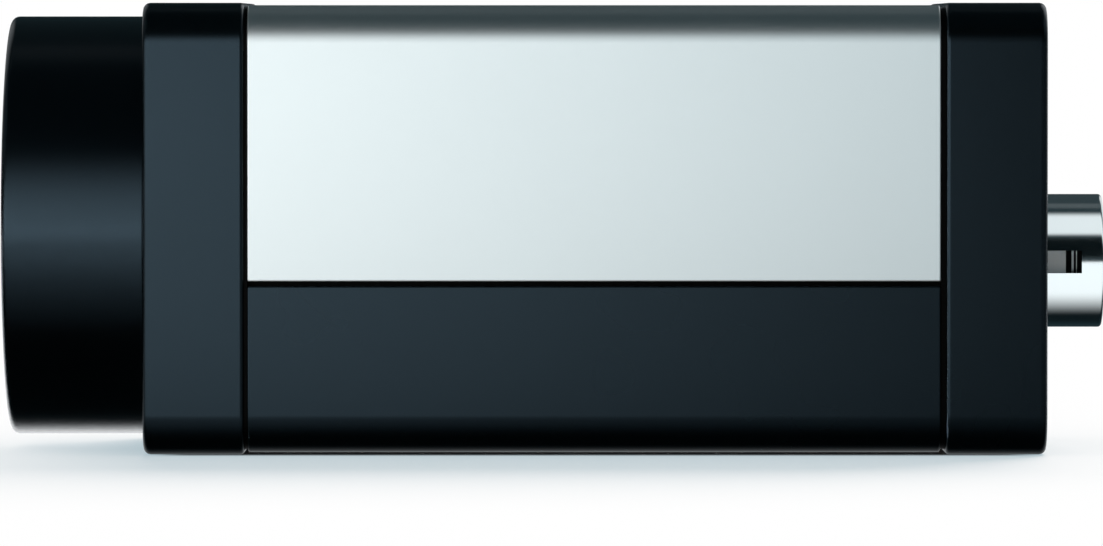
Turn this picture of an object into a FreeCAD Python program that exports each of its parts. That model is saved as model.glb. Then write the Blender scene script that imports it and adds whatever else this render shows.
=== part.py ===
import FreeCAD, Part
import math
import os

from FreeCAD import Vector

# A compact network camera for machine vision.
# +X runs from the lens mount towards the connectors, +Z is up, and z = 0 is the
# surface that the two end plates stand on. The optical axis lies along X at AXIS_Z.
# All sizes are in millimetres.

# ---- end plates and covers ----
CORNER_R = 2.6          # long rounded edges of the plates
FRONT_T = 6.5           # front plate along the optical axis
REAR_T = 6.5            # rear plate along the optical axis
COVER_L = 44.5          # covers between the plates
COVER_INSET = 0.15      # covers stand back from the plates' faces
NECK_L = 0.22           # shadow joint between a plate and the covers
NECK_INSET = 0.35       # depth of the shadow joint below the plates' faces
WALL = 1.5              # wall of both covers
EDGE = 0.25             # broken edges of plates and covers
REAR_EDGE = 0.45        # softer outer edge of the rear plate
SEAM_DROP = 3.62        # top of the tray's walls below the optical axis
SEAM_GAP = 0.30         # shadow gap between tray and upper cover
TONGUE_T = 0.65         # tongue of the tray behind the seam
TONGUE_H = 1.6
RIM_L = 1.2             # locating rim of a plate inside the covers
RIM_T = 1.0

# ---- clearances ----
SLIP = 0.05             # pieces that slide or screw together
FIT = 0.10              # pieces that drop into each other
BOARD_GAP = 0.35        # circuit boards to walls and screw channels

# ---- lens mount ----
THREAD_R = 12.27        # crest radius of the internal lens thread
THREAD_LEAD = 0.6
NOSE_WALL = 1.38        # from the thread's crest to the outside of the nose
NOSE_L = 9.1            # nose in front of the front plate
NOSE_EDGE = 0.5
FLANGE_FOCAL = 17.526   # mount face to image plane
SHOULDER_T = 1.2        # shoulder behind the filter
FILTER_SEAT = 0.9       # width of the filter's seat at the middle of its sides
GLASS_T = 1.0

# ---- long corner screws, from the rear plate into the front plate ----
SCREW_INSET = 2.65      # screw axis from the two outer faces
SCREW_R = 0.95
SCREW_GRIP = 4.0        # screw inside the front plate
SCREW_SPARE = 0.6       # tapped hole beyond the screw's tip
SCREW_HEAD_R = 1.75
SCREW_HEAD_H = 1.3
SCREW_SINK = 0.7        # head below the plate's face
SCREW_HEX = 1.3         # socket across flats
SCREW_HEX_DEPTH = 0.7
SCREW_PASSAGE_R = 1.15
CHANNEL_R = 1.9         # screw channel of the extruded covers

# ---- sensor ----
PACKAGE_W = 14.0
PACKAGE_T = 2.4
PACKAGE_RIM = 0.8       # rim in front of the die's face
PACKAGE_WALL = 1.2
DIE_MARGIN_Y = 1.4      # die to the walls of its cavity
DIE_MARGIN_Z = 2.4
DIE_T = 0.5
GLASS_MARGIN = 0.5      # cover glass inside the package's outline
COVER_GLASS_T = 0.7
SEAL_FRAME_T = 1.0
WINDOW_MARGIN = 0.5     # opening in the front plate round the package

# ---- boards ----
BOARD_T = 1.2
POST_GAP = 0.3          # post to the sensor's seal frame
POST_R = 1.6
POST_TAP_R = 0.85
POST_TAP_L = 3.0
SPACER_L = 5.0
SPACER_AF = 3.2
BOARD_SCREW_R = 0.8     # goes through both boards into the post
BOARD_SCREW_GRIP = 2.6
BOARD_SCREW_HEAD_R = 1.7
BOARD_SCREW_HEAD_H = 1.1
LINK_W = 11.0           # board-to-board connector
LINK_H = 3.0
LINK_PLUG_L = 2.3
LINK_DZ = 7.8           # connector below the optical axis
LINK_TONGUE = 0.9
LINK_TONGUE_L = 1.2
CHIP_W = 11.0
CHIP_T = 1.3
PAD_T = 0.6
PAD_W = 9.0
BRIDGE_T = 1.0          # folded heat bridge
BRIDGE_W = 14.0
BRIDGE_DROP = 16.0      # height of its upright leg
BRIDGE_REACH = 13.0     # length of its upper leg
MEMORY_W = 6.5
MEMORY_H = 8.0
MEMORY_T = 1.0
MEMORY_Y = 7.3
SOCKET_L = 3.8          # edge socket of the interface board
SOCKET_W = 4.2
SOCKET_H = 15.0
SOCKET_GRIP = 2.6       # board edge inside the socket

# ---- network jack, standing on its side ----
JACK_L = 21.5
JACK_W = 12.6           # across the plug's height, along Y
JACK_H = 15.9           # across the plug's width, along Z
JACK_WALL_GAP = 0.35
JACK_SHEET = 0.3
JACK_LIP = 1.2          # folded edge under the open side of the shield
PLUG_FLOOR = 1.6        # cavity floor above the shield's open side
PLUG_W = 11.9
PLUG_H = 7.0
PLUG_L = 14.0
LATCH_W = 6.4
LATCH_H = 1.7
LATCH_TIP_W = 3.6
LATCH_TIP_H = 1.1
CONTACT_COUNT = 8
CONTACT_PITCH = 1.02
CONTACT_W = 0.36
CONTACT_T = 0.30
CONTACT_SLOT = 0.6
CONTACT_TAIL = 1.0      # tail beyond the board
FINGER_W = 2.4
FINGER_L = 4.0
FINGER_T = 0.2
FINGER_DY = 2.6         # fingers on each side of the jack's centre line
TAB_W = 2.0             # shield tabs through the board
LOCK_HOLE_R = 0.8       # tapped holes for a plug's locking screws
LOCK_HOLE_L = 5.0
LOCK_HOLE_OFFSET = 2.95 # from the jack's side

# ---- circular connector ----
IO_DROP = 2.15          # below the optical axis
IO_R = 4.3
IO_WALL_GAP = 1.55
IO_BOARD_CLEAR = 1.3    # shell to the interface board
IO_REACH = 3.8          # beyond the rear plate
IO_BORE_R = 3.55
IO_RIM_EDGE = 0.2
IO_TAIL = 2.1           # shell behind the rear plate
IO_WINDOW_L = 2.15
IO_WINDOW_W = 1.45
IO_WINDOW_COUNT = 3
IO_WINDOW_ROOT = 0.6    # window inside the plate
IO_KEY_W = 0.9
IO_KEY_H = 0.5
IO_CORE_REACH = 1.1     # insulator beyond the plate's face
IO_CORE_FLANGE_T = 1.6
IO_PIN_COUNT = 6
IO_PIN_CIRCLE_R = 2.0
IO_PIN_R = 0.25
IO_PIN_REACH = 1.8
IO_BOARD_T = 1.0
IO_BOARD_H = 10.4

# ---- parts on the interface board ----
TRANSFORMER_L = 9.0
TRANSFORMER_H = 15.0
TRANSFORMER_T = 5.8
LEAD_COUNT = 4          # gull-wing leads on each side of the transformer
LEAD_PITCH = 3.0
TRANSCEIVER_W = 7.0
TRANSCEIVER_T = 0.9
INDUCTOR_W = 7.0
INDUCTOR_T = 4.0
CAPACITOR_R = 2.5
CAPACITOR_L = 5.6
CAPACITOR_BASE = 0.8
OPTO_L = 4.4
OPTO_H = 3.6
OPTO_T = 2.0
LAMP_L = 3.0
LAMP_W = 2.2
LAMP_DZ = 2.8           # spacing of the two lamps
LAMP_RISE = 7.2         # middle of the pair above the optical axis
PIPE_W = 1.9

# ---- mounting threads in the tray ----
FOOT_SPACING_X = 30.0
FOOT_SPACING_Y = 16.0
FOOT_FIRST = 7.1        # first pair behind the covers' front end
FOOT_HOLE_R = 1.25
FOOT_HOLE_L = 3.5
FOOT_PAD_MARGIN = 1.35  # pad round each pair of holes
FOOT_PAD_H = 4.3        # above the tray's underside

# ---- places worked out from the sizes above ----
INNER_W = JACK_WALL_GAP + JACK_W + FIT + BOARD_T + IO_BOARD_CLEAR + 2 * IO_R + IO_WALL_GAP
INNER_HALF = INNER_W / 2
COVER_HALF = INNER_HALF + WALL
SECTION = 2 * (COVER_HALF + COVER_INSET)
AXIS_Z = SECTION / 2
TOTAL_L = NOSE_L + FRONT_T + COVER_L + 2 * NECK_L + REAR_T + IO_REACH
X_NOSE = -TOTAL_L / 2
X_PLATE = X_NOSE + NOSE_L
X_COVER = X_PLATE + FRONT_T + NECK_L
X_COVER_END = X_COVER + COVER_L
X_REAR = X_COVER_END + NECK_L
X_BACK = X_REAR + REAR_T
X_IMAGE = X_NOSE + FLANGE_FOCAL

SCREW_OFF = SECTION / 2 - SCREW_INSET
COVER_BASE = AXIS_Z - COVER_HALF
CEILING_Z = AXIS_Z + INNER_HALF
SEAM_Z = AXIS_Z - SEAM_DROP
SEAM_TOP = SEAM_Z + SEAM_GAP

NOSE_R = THREAD_R + NOSE_WALL
POCKET_HALF = THREAD_R / math.sqrt(2) - FIT
FILTER_HALF = POCKET_HALF - FIT
APERTURE_R = FILTER_HALF - FILTER_SEAT

BOARD_HALF_W = INNER_HALF - BOARD_GAP
BOARD_HALF_H = SCREW_OFF - CHANNEL_R - BOARD_GAP / 2
X_PACKAGE = X_IMAGE - PACKAGE_RIM
X_SENSOR_BOARD = X_PACKAGE + PACKAGE_T
X_SPACER = X_SENSOR_BOARD + BOARD_T
X_PROCESSOR_BOARD = X_SPACER + SPACER_L
X_PROCESSOR_BACK = X_PROCESSOR_BOARD + BOARD_T
X_FILTER_SEAT = X_PLATE - SHOULDER_T
X_SHOULDER = X_FILTER_SEAT - GLASS_T
X_SCREW_TIP = X_PLATE + FRONT_T - SCREW_GRIP
FRAME_INNER = PACKAGE_W / 2 + FIT
FRAME_OUTER = FRAME_INNER + SEAL_FRAME_T
POST_Y = FRAME_OUTER + POST_GAP + POST_R
POST_DZ = FRAME_OUTER - POST_R      # posts end level with the seal frame

JACK_HIGH_Y = INNER_HALF - JACK_WALL_GAP
JACK_LOW_Y = JACK_HIGH_Y - JACK_W
JACK_Y = (JACK_LOW_Y + JACK_HIGH_Y) / 2
X_JACK = X_BACK - JACK_L
FLOOR_Y = JACK_LOW_Y + PLUG_FLOOR
BOARD_HIGH_Y = JACK_LOW_Y - FIT
BOARD_LOW_Y = BOARD_HIGH_Y - BOARD_T
X_BOARD_FRONT = X_PROCESSOR_BACK + SOCKET_L - SOCKET_GRIP
X_BOARD_BACK = X_COVER_END - BOARD_GAP

IO_Y = IO_WALL_GAP + IO_R - INNER_HALF
IO_Z = AXIS_Z - IO_DROP
LAMP_Z = AXIS_Z + LAMP_RISE
X_IO_TAIL = X_REAR - IO_TAIL
X_IO_CORE = X_IO_TAIL - IO_CORE_FLANGE_T
X_IO_BOARD = X_IO_CORE - IO_BOARD_T


# ---- shapes that many pieces use ----
def box(x_low, x_high, y_low, y_high, z_low, z_high):
    return Part.makeBox(x_high - x_low, y_high - y_low, z_high - z_low, Vector(x_low, y_low, z_low))


def square_block(x_low, x_high, half):
    """Square block about the optical axis."""
    return box(x_low, x_high, -half, half, AXIS_Z - half, AXIS_Z + half)


def rod_x(x_low, x_high, y, z, radius):
    return Part.makeCylinder(radius, x_high - x_low, Vector(x_low, y, z), Vector(1, 0, 0))


def rod_y(y_low, y_high, x, z, radius):
    return Part.makeCylinder(radius, y_high - y_low, Vector(x, y_low, z), Vector(0, 1, 0))


def rod_z(z_low, z_high, x, y, radius):
    return Part.makeCylinder(radius, z_high - z_low, Vector(x, y, z_low), Vector(0, 0, 1))


def hexagon_x(x_low, x_high, y, z, across_flats):
    """Hexagonal bar along X."""
    radius = across_flats / math.sqrt(3)
    turns = [math.radians(60 * i) for i in range(7)]
    points = [Vector(x_low, y + radius * math.cos(a), z + radius * math.sin(a)) for a in turns]
    return Part.Face(Part.makePolygon(points)).extrude(Vector(x_high - x_low, 0, 0))


def edges_along_x(shape):
    """Straight edges that run along X."""
    found = []
    for edge in shape.Edges:
        first, last = edge.Vertexes[0].Point, edge.Vertexes[-1].Point
        if abs(last.x - first.x) > abs(last.y - first.y) + abs(last.z - first.z):
            found.append(edge)
    return found


def rounded_bar(x_low, x_high, half, radius):
    """Square bar about the optical axis with rounded long edges."""
    bar = square_block(x_low, x_high, half)
    return bar.makeFillet(radius, edges_along_x(bar))


def end_edges(shape, x):
    """Edges that lie wholly in the plane at x."""
    flat = []
    for edge in shape.Edges:
        limits = edge.BoundBox
        if abs(limits.XMin - x) < 1e-4 and abs(limits.XMax - x) < 1e-4:
            flat.append(edge)
    return flat


def turned(profile, y, z):
    """Solid of revolution about an axis along X through (y, z), from (x, radius) points."""
    points = [Vector(x, y, z + radius) for x, radius in profile]
    outline = Part.makePolygon(points + points[:1])
    return Part.Face(outline).revolve(Vector(0, y, z), Vector(1, 0, 0), 360)


def strip_outline(path, thickness):
    """Closed outline of a bent strip whose middle follows the (u, v) points of path."""
    half = thickness / 2
    left = []
    right = []
    for i, (u, v) in enumerate(path):
        before = path[max(i - 1, 0)]
        after = path[min(i + 1, len(path) - 1)]
        into = unit(u - before[0], v - before[1])
        out = unit(after[0] - u, after[1] - v)
        if i == 0:
            into = out
        if i == len(path) - 1:
            out = into
        mitre = unit(into[0] + out[0], into[1] + out[1])
        reach = half / (mitre[0] * into[0] + mitre[1] * into[1])
        left.append((u - mitre[1] * reach, v + mitre[0] * reach))
        right.append((u + mitre[1] * reach, v - mitre[0] * reach))
    return left + right[::-1]


def unit(u, v):
    length = math.hypot(u, v)
    if length == 0:
        return (0.0, 0.0)
    return (u / length, v / length)


def strip_along_z(path, thickness, z_low, z_high):
    """Bent strip in the XY plane, as wide as z_low to z_high."""
    points = [Vector(x, y, z_low) for x, y in strip_outline(path, thickness)]
    face = Part.Face(Part.makePolygon(points + points[:1]))
    return face.extrude(Vector(0, 0, z_high - z_low))


def strip_along_y(path, thickness, y_low, y_high):
    """Bent strip in the XZ plane, as wide as y_low to y_high."""
    points = [Vector(x, y_low, z) for x, z in strip_outline(path, thickness)]
    face = Part.Face(Part.makePolygon(points + points[:1]))
    return face.extrude(Vector(0, y_high - y_low, 0))


def corners(offset):
    """The four (y, z) places at the same offset from the optical axis."""
    return [(sy * offset, AXIS_Z + sz * offset) for sy in (-1, 1) for sz in (-1, 1)]


def post_places():
    """Two posts at opposite corners of the sensor."""
    return [(side * POST_Y, AXIS_Z + side * POST_DZ) for side in (-1, 1)]


def foot_places():
    first = X_COVER + FOOT_FIRST
    return [(x, sy * FOOT_SPACING_Y / 2) for x in (first, first + FOOT_SPACING_X) for sy in (-1, 1)]


def lamp_places():
    return [LAMP_Z - LAMP_DZ / 2, LAMP_Z + LAMP_DZ / 2]


def fuse_all(shapes):
    return shapes[0].multiFuse(shapes[1:]).removeSplitter()


def cut_all(shape, tools):
    return shape.cut(Part.makeCompound(tools))


# ---- lens mount ----
def lens_mount_ring():
    """Turned nose with the lens thread and the filter's pocket, bonded to the front plate."""
    thread_start = X_NOSE + THREAD_LEAD
    ring = turned([
        (X_NOSE, THREAD_R + THREAD_LEAD),
        (X_NOSE, NOSE_R - NOSE_EDGE),
        (X_NOSE + NOSE_EDGE, NOSE_R),
        (X_PLATE, NOSE_R),
        (X_PLATE, APERTURE_R),
        (X_SHOULDER, APERTURE_R),
        (X_SHOULDER, THREAD_R),
        (thread_start, THREAD_R),
    ], 0, AXIS_Z)
    return ring.cut(square_block(X_SHOULDER, X_FILTER_SEAT, POCKET_HALF))


def filter_glass():
    """Square filter in its pocket, flush with the shoulder at the end of the lens thread."""
    return square_block(X_SHOULDER, X_FILTER_SEAT, FILTER_HALF)


# ---- plates ----
def plate_blank(x_low, x_high, x_outer, outer_edge):
    """Plate with rounded long edges and broken rims; x_outer is its outer face."""
    plate = rounded_bar(x_low, x_high, SECTION / 2, CORNER_R)
    x_inner = x_low if x_outer == x_high else x_high
    plate = plate.makeChamfer(outer_edge, end_edges(plate, x_outer))
    return plate.makeChamfer(EDGE, end_edges(plate, x_inner))


def locating_rim(x_low, x_high):
    """Raised rim inside the covers: four ribs that stop short of the screw channels."""
    outer = INNER_HALF - FIT
    inner = outer - RIM_T
    end = SCREW_OFF - CHANNEL_R - FIT
    ribs = []
    for side in (-1, 1):
        low, high = sorted((side * inner, side * outer))
        ribs.append(box(x_low, x_high, low, high, AXIS_Z - end, AXIS_Z + end))
        ribs.append(box(x_low, x_high, -end, end, AXIS_Z + low, AXIS_Z + high))
    return ribs


def front_plate():
    """Front plate: window for the sensor, square posts for the boards, tapped corners."""
    x_flange = X_PLATE + FRONT_T
    plate = plate_blank(X_PLATE, x_flange, X_PLATE, EDGE)
    neck = rounded_bar(x_flange, X_COVER, SECTION / 2 - NECK_INSET, CORNER_R - NECK_INSET)
    rim = locating_rim(x_flange, X_COVER + RIM_L)
    posts = []
    for y, z in post_places():
        posts.append(box(x_flange, X_SENSOR_BOARD, y - POST_R, y + POST_R, z - POST_R, z + POST_R))
    plate = fuse_all([plate, neck] + rim + posts)
    half = PACKAGE_W / 2 + WINDOW_MARGIN
    tools = [square_block(X_PLATE, X_COVER, half)]
    for y, z in corners(SCREW_OFF):
        tools.append(rod_x(X_SCREW_TIP - SCREW_SPARE, X_COVER, y, z, SCREW_R + SLIP))
    for y, z in post_places():
        tools.append(rod_x(X_SENSOR_BOARD - POST_TAP_L, X_SENSOR_BOARD, y, z, POST_TAP_R))
    return cut_all(plate, tools)


def rear_plate():
    """Rear plate: jack window, connector seat, lamp holes and plug locking threads."""
    plate = plate_blank(X_REAR, X_BACK, X_BACK, REAR_EDGE)
    neck = rounded_bar(X_COVER_END, X_REAR, SECTION / 2 - NECK_INSET, CORNER_R - NECK_INSET)
    rim = locating_rim(X_COVER_END - RIM_L, X_REAR)
    plate = fuse_all([plate, neck] + rim)
    x_head = X_BACK - SCREW_SINK - SCREW_HEAD_H
    x_inside = X_COVER_END - RIM_L
    half_z = JACK_H / 2 + FIT
    tools = [
        box(x_inside, X_BACK, JACK_LOW_Y - FIT, JACK_HIGH_Y + FIT, AXIS_Z - half_z, AXIS_Z + half_z),
        rod_x(x_inside, X_BACK, IO_Y, IO_Z, IO_R + SLIP),
    ]
    for y, z in corners(SCREW_OFF):
        tools.append(rod_x(X_COVER_END, X_BACK, y, z, SCREW_PASSAGE_R))
        tools.append(rod_x(x_head, X_BACK, y, z, SCREW_HEAD_R + FIT))
    for side in (-1, 1):
        z = AXIS_Z + side * (JACK_H / 2 + LOCK_HOLE_OFFSET)
        tools.append(rod_x(X_BACK - LOCK_HOLE_L, X_BACK, JACK_Y, z, LOCK_HOLE_R))
    return cut_all(plate, tools + light_bars(x_inside, X_BACK, PIPE_W / 2 + SLIP))


# ---- covers ----
def cover_section(x_low, x_high):
    """Closed square tube of both covers, with its four screw channels."""
    tube = rounded_bar(x_low, x_high, COVER_HALF, CORNER_R - COVER_INSET)
    tube = tube.makeChamfer(EDGE, end_edges(tube, x_low))
    tube = tube.makeChamfer(EDGE, end_edges(tube, x_high))
    outside = tube.copy()
    tube = tube.cut(rounded_bar(x_low, x_high, INNER_HALF, CORNER_R - WALL / 2))
    channels = [rod_x(x_low, x_high, y, z, CHANNEL_R) for y, z in corners(SCREW_OFF)]
    tube = fuse_all([tube] + channels).common(outside)
    return cut_all(tube, [rod_x(x_low, x_high, y, z, SCREW_R + SLIP) for y, z in corners(SCREW_OFF)])


def seam_bevels(z, side):
    """Wedges that break the two outer edges of a cover at the seam."""
    wedges = []
    for face in (-1, 1):
        y = face * COVER_HALF
        points = [
            Vector(X_COVER, y, z),
            Vector(X_COVER, y, z + side * EDGE),
            Vector(X_COVER, y - face * EDGE, z),
        ]
        wedge = Part.Face(Part.makePolygon(points + points[:1]))
        wedges.append(wedge.extrude(Vector(COVER_L, 0, 0)))
    return wedges


def upper_cover():
    """Upper U profile, with a groove over the tray's tongue."""
    cover = cover_section(X_COVER, X_COVER_END)
    wide = SECTION
    groove = TONGUE_T + FIT
    groove_top = SEAM_Z + TONGUE_H + FIT
    tools = [box(X_COVER, X_COVER_END, -wide, wide, -wide, SEAM_TOP)]
    for side in (-1, 1):
        y_pair = sorted((side * INNER_HALF, side * (INNER_HALF + groove)))
        tools.append(box(X_COVER, X_COVER_END, *y_pair, SEAM_TOP, groove_top))
    return cut_all(cover, tools + seam_bevels(SEAM_TOP, 1))


def lower_tray():
    """Lower U profile with its tongue and the four threaded feet for fixing the camera."""
    tray = cover_section(X_COVER, X_COVER_END)
    wide = SECTION
    tray = tray.cut(box(X_COVER, X_COVER_END, -wide, wide, SEAM_Z, 2 * wide))
    tray = cut_all(tray, seam_bevels(SEAM_Z, -1))
    pieces = [tray]
    for side in (-1, 1):
        y_pair = sorted((side * INNER_HALF, side * (INNER_HALF + TONGUE_T)))
        pieces.append(box(X_COVER, X_COVER_END, *y_pair, SEAM_Z - TONGUE_T, SEAM_Z + TONGUE_H))
    reach = FOOT_HOLE_R + FOOT_PAD_MARGIN
    for x, y in foot_places()[::2]:
        pieces.append(box(x - reach, x + reach, y - reach, reach - y, COVER_BASE + WALL / 2, COVER_BASE + FOOT_PAD_H))
    holes = [rod_z(COVER_BASE, COVER_BASE + FOOT_HOLE_L, x, y, FOOT_HOLE_R) for x, y in foot_places()]
    return cut_all(fuse_all(pieces), holes)


def rear_screws():
    """Long socket screws, heads sunk in the rear plate, that hold both plates and the covers."""
    x_top = X_BACK - SCREW_SINK
    x_seat = x_top - SCREW_HEAD_H
    screws = []
    for y, z in corners(SCREW_OFF):
        head = rod_x(x_seat, x_top, y, z, SCREW_HEAD_R)
        shank = rod_x(X_SCREW_TIP, x_seat, y, z, SCREW_R)
        socket = hexagon_x(x_top - SCREW_HEX_DEPTH, x_top, y, z, SCREW_HEX)
        screws.append(head.fuse(shank).cut(socket))
    return screws


# ---- sensor and the two upright boards ----
def sensor_package():
    """Ceramic body with a stepped cavity for the die."""
    half = PACKAGE_W / 2
    hollow = half - PACKAGE_WALL
    x_floor = X_IMAGE + DIE_T
    body = square_block(X_PACKAGE, X_SENSOR_BOARD, half)
    return body.cut(square_block(X_PACKAGE, x_floor, hollow))


def sensor_die():
    hollow = PACKAGE_W / 2 - PACKAGE_WALL
    half_y = hollow - DIE_MARGIN_Y
    half_z = hollow - DIE_MARGIN_Z
    return box(X_IMAGE, X_IMAGE + DIE_T, -half_y, half_y, AXIS_Z - half_z, AXIS_Z + half_z)


def sensor_cover_glass():
    half = PACKAGE_W / 2 - GLASS_MARGIN
    return box(X_PACKAGE - COVER_GLASS_T, X_PACKAGE, -half, half, AXIS_Z - half, AXIS_Z + half)


def sensor_seal_frame():
    """Soft frame between the front plate and the board, round the sensor."""
    inner, outer = FRAME_INNER, FRAME_OUTER
    frame = square_block(X_COVER, X_SENSOR_BOARD, outer)
    return frame.cut(square_block(X_COVER, X_SENSOR_BOARD, inner))


def upright_board(x_low):
    """Circuit board across the housing, between the screw channels."""
    width, height = BOARD_HALF_W, BOARD_HALF_H
    board = box(x_low, x_low + BOARD_T, -width, width, AXIS_Z - height, AXIS_Z + height)
    holes = [rod_x(x_low, x_low + BOARD_T, y, z, POST_TAP_R + FIT) for y, z in post_places()]
    return cut_all(board, holes)


def board_spacer(y, z):
    """Hexagonal tube between the two boards."""
    body = hexagon_x(X_SPACER, X_PROCESSOR_BOARD, y, z, SPACER_AF)
    return body.cut(rod_x(X_SPACER, X_PROCESSOR_BOARD, y, z, POST_TAP_R + SLIP))


def board_screw(y, z):
    """Slotted screw through the processor board, a spacer and the sensor board into a post."""
    x_head = X_PROCESSOR_BACK + BOARD_SCREW_HEAD_H
    head = rod_x(X_PROCESSOR_BACK, x_head, y, z, BOARD_SCREW_HEAD_R)
    shank = rod_x(X_SENSOR_BOARD - BOARD_SCREW_GRIP, X_PROCESSOR_BACK, y, z, BOARD_SCREW_R)
    reach = BOARD_SCREW_HEAD_R
    half = BOARD_SCREW_R / 4
    slot = box(x_head - BOARD_SCREW_HEAD_H / 2, x_head, y - reach, y + reach, z - half, z + half)
    return head.fuse(shank).cut(slot)


def board_link():
    """Mated board-to-board connector: plug with a tongue and socket with its slot."""
    z_mid = AXIS_Z - LINK_DZ
    half_w, half_h = LINK_W / 2, LINK_H / 2
    x_meet = X_SPACER + LINK_PLUG_L
    tip = x_meet + LINK_TONGUE_L
    tongue_w = half_w - LINK_TONGUE
    tongue_h = LINK_TONGUE / 2
    plug = box(X_SPACER, x_meet, -half_w, half_w, z_mid - half_h, z_mid + half_h)
    tongue = box(x_meet, tip, -tongue_w, tongue_w, z_mid - tongue_h, z_mid + tongue_h)
    slot_w, slot_h = tongue_w + FIT, tongue_h + FIT
    socket = box(x_meet, X_PROCESSOR_BOARD, -half_w, half_w, z_mid - half_h, z_mid + half_h)
    slot = box(x_meet, tip + FIT, -slot_w, slot_w, z_mid - slot_h, z_mid + slot_h)
    return plug.fuse(tongue).removeSplitter(), socket.cut(slot)


def chip_top():
    return X_PROCESSOR_BOARD - CHIP_T


def image_processor_chip():
    """Large processor on the front of the processor board."""
    half = CHIP_W / 2
    chip = box(chip_top(), X_PROCESSOR_BOARD, -half, half, chip_z() - half, chip_z() + half)
    return chip.makeChamfer(CHIP_T / 4, end_edges(chip, chip_top()))


def chip_z():
    """Middle of the processor: it clears the board link below it."""
    return AXIS_Z - LINK_DZ + LINK_H / 2 + BOARD_GAP + CHIP_W / 2


def memory_chips():
    half_z = MEMORY_H / 2
    x_high = X_PROCESSOR_BACK + MEMORY_T
    chips = []
    for side in (-1, 1):
        y = side * MEMORY_Y
        low, high = y - MEMORY_W / 2, y + MEMORY_W / 2
        chips.append(box(X_PROCESSOR_BACK, x_high, low, high, AXIS_Z - half_z, AXIS_Z + half_z))
    return chips


def thermal_pad():
    half = PAD_W / 2
    return box(chip_top() - PAD_T, chip_top(), -half, half, chip_z() - half, chip_z() + half)


def heat_bridge():
    """Folded plate from the thermal pad to the ceiling of the upper cover."""
    x_leg = chip_top() - PAD_T - BRIDGE_T / 2
    z_leg = CEILING_Z - BRIDGE_T / 2
    path = [(x_leg, CEILING_Z - BRIDGE_DROP), (x_leg, z_leg), (x_leg + BRIDGE_REACH, z_leg)]
    bridge = strip_along_y(path, BRIDGE_T, -BRIDGE_W / 2, BRIDGE_W / 2)
    inner = [e for e in bridge.Edges if abs(e.BoundBox.XMin - x_leg - BRIDGE_T / 2) < 1e-4
             and abs(e.BoundBox.ZMin - z_leg + BRIDGE_T / 2) < 1e-4
             and e.BoundBox.YLength > BRIDGE_W / 2]
    outer = [e for e in bridge.Edges if abs(e.BoundBox.XMax - x_leg + BRIDGE_T / 2) < 1e-4
             and abs(e.BoundBox.ZMax - z_leg - BRIDGE_T / 2) < 1e-4
             and e.BoundBox.YLength > BRIDGE_W / 2]
    bridge = bridge.makeFillet(BRIDGE_T * 0.5, inner)
    return bridge.makeFillet(BRIDGE_T * 0.9, outer[:1])


# ---- interface board and what it carries ----
def board_middle_y():
    return (BOARD_LOW_Y + BOARD_HIGH_Y) / 2


def interface_socket():
    """Edge socket on the processor board that holds the interface board."""
    middle = board_middle_y()
    half_z = SOCKET_H / 2
    x_high = X_PROCESSOR_BACK + SOCKET_L
    low, high = middle - SOCKET_W / 2, middle + SOCKET_W / 2
    body = box(X_PROCESSOR_BACK, x_high, low, high, AXIS_Z - half_z, AXIS_Z + half_z)
    slot_z = half_z - BOARD_T / 2
    slot_y = BOARD_T / 2 + SLIP
    slot = box(X_BOARD_FRONT, x_high, middle - slot_y, middle + slot_y, AXIS_Z - slot_z, AXIS_Z + slot_z)
    return body.cut(slot)


def interface_board():
    """Board along the housing; its front tongue plugs into the edge socket."""
    half_z = BOARD_HALF_H
    tongue_z = SOCKET_H / 2 - BOARD_T / 2 - FIT
    x_wide = X_PROCESSOR_BACK + SOCKET_L + FIT
    board = box(x_wide, X_BOARD_BACK, BOARD_LOW_Y, BOARD_HIGH_Y, AXIS_Z - half_z, AXIS_Z + half_z)
    tongue = box(X_BOARD_FRONT, x_wide, BOARD_LOW_Y, BOARD_HIGH_Y, AXIS_Z - tongue_z, AXIS_Z + tongue_z)
    board = board.fuse(tongue).removeSplitter()
    tools = []
    half = CONTACT_W / 2 + SLIP
    for x, z in contact_tail_places():
        tools.append(box(x - half, x + half, BOARD_LOW_Y, BOARD_HIGH_Y, z - half, z + half))
    for low, high in shield_tab_spans():
        x_low, x_high = shield_tab_x()
        tools.append(box(x_low - SLIP, x_high + SLIP, BOARD_LOW_Y, BOARD_HIGH_Y, low - SLIP, high + SLIP))
    return cut_all(board, tools)


def network_transformer():
    """Moulded block with two rows of gull-wing leads on the board."""
    x_low = X_JACK - BOARD_GAP - TRANSFORMER_L - 2 * lead_reach()
    half_z = TRANSFORMER_H / 2
    foot = BOARD_HIGH_Y
    x_body = x_low + lead_reach()
    body = box(x_body, x_body + TRANSFORMER_L, foot, foot + TRANSFORMER_T, AXIS_Z - half_z, AXIS_Z + half_z)
    body = body.makeChamfer(CONTACT_T, [e for e in body.Edges if abs(e.BoundBox.YMin - foot - TRANSFORMER_T) < 1e-4])
    lead_y = foot + CONTACT_T / 2
    rise = foot + TRANSFORMER_T / 3
    leads = []
    for i in range(LEAD_COUNT):
        z = AXIS_Z + (i - (LEAD_COUNT - 1) / 2) * LEAD_PITCH
        for side, x_face in ((-1, x_body), (1, x_body + TRANSFORMER_L)):
            knee = x_face + side * lead_reach() * 0.45
            path = [(x_face - side * CONTACT_T, rise), (knee, rise), (knee, lead_y), (x_face + side * lead_reach(), lead_y)]
            leads.append(strip_along_z(path, CONTACT_T, z - CONTACT_W / 2, z + CONTACT_W / 2))
    return fuse_all([body] + leads)


def lead_reach():
    return 4 * CONTACT_T


def network_transceiver_chip():
    """Flat chip on the other face of the board, behind the transformer."""
    half = TRANSCEIVER_W / 2
    x = transceiver_x()
    low = BOARD_LOW_Y - TRANSCEIVER_T
    return box(x - half, x + half, low, BOARD_LOW_Y, AXIS_Z - half, AXIS_Z + half)


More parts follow.
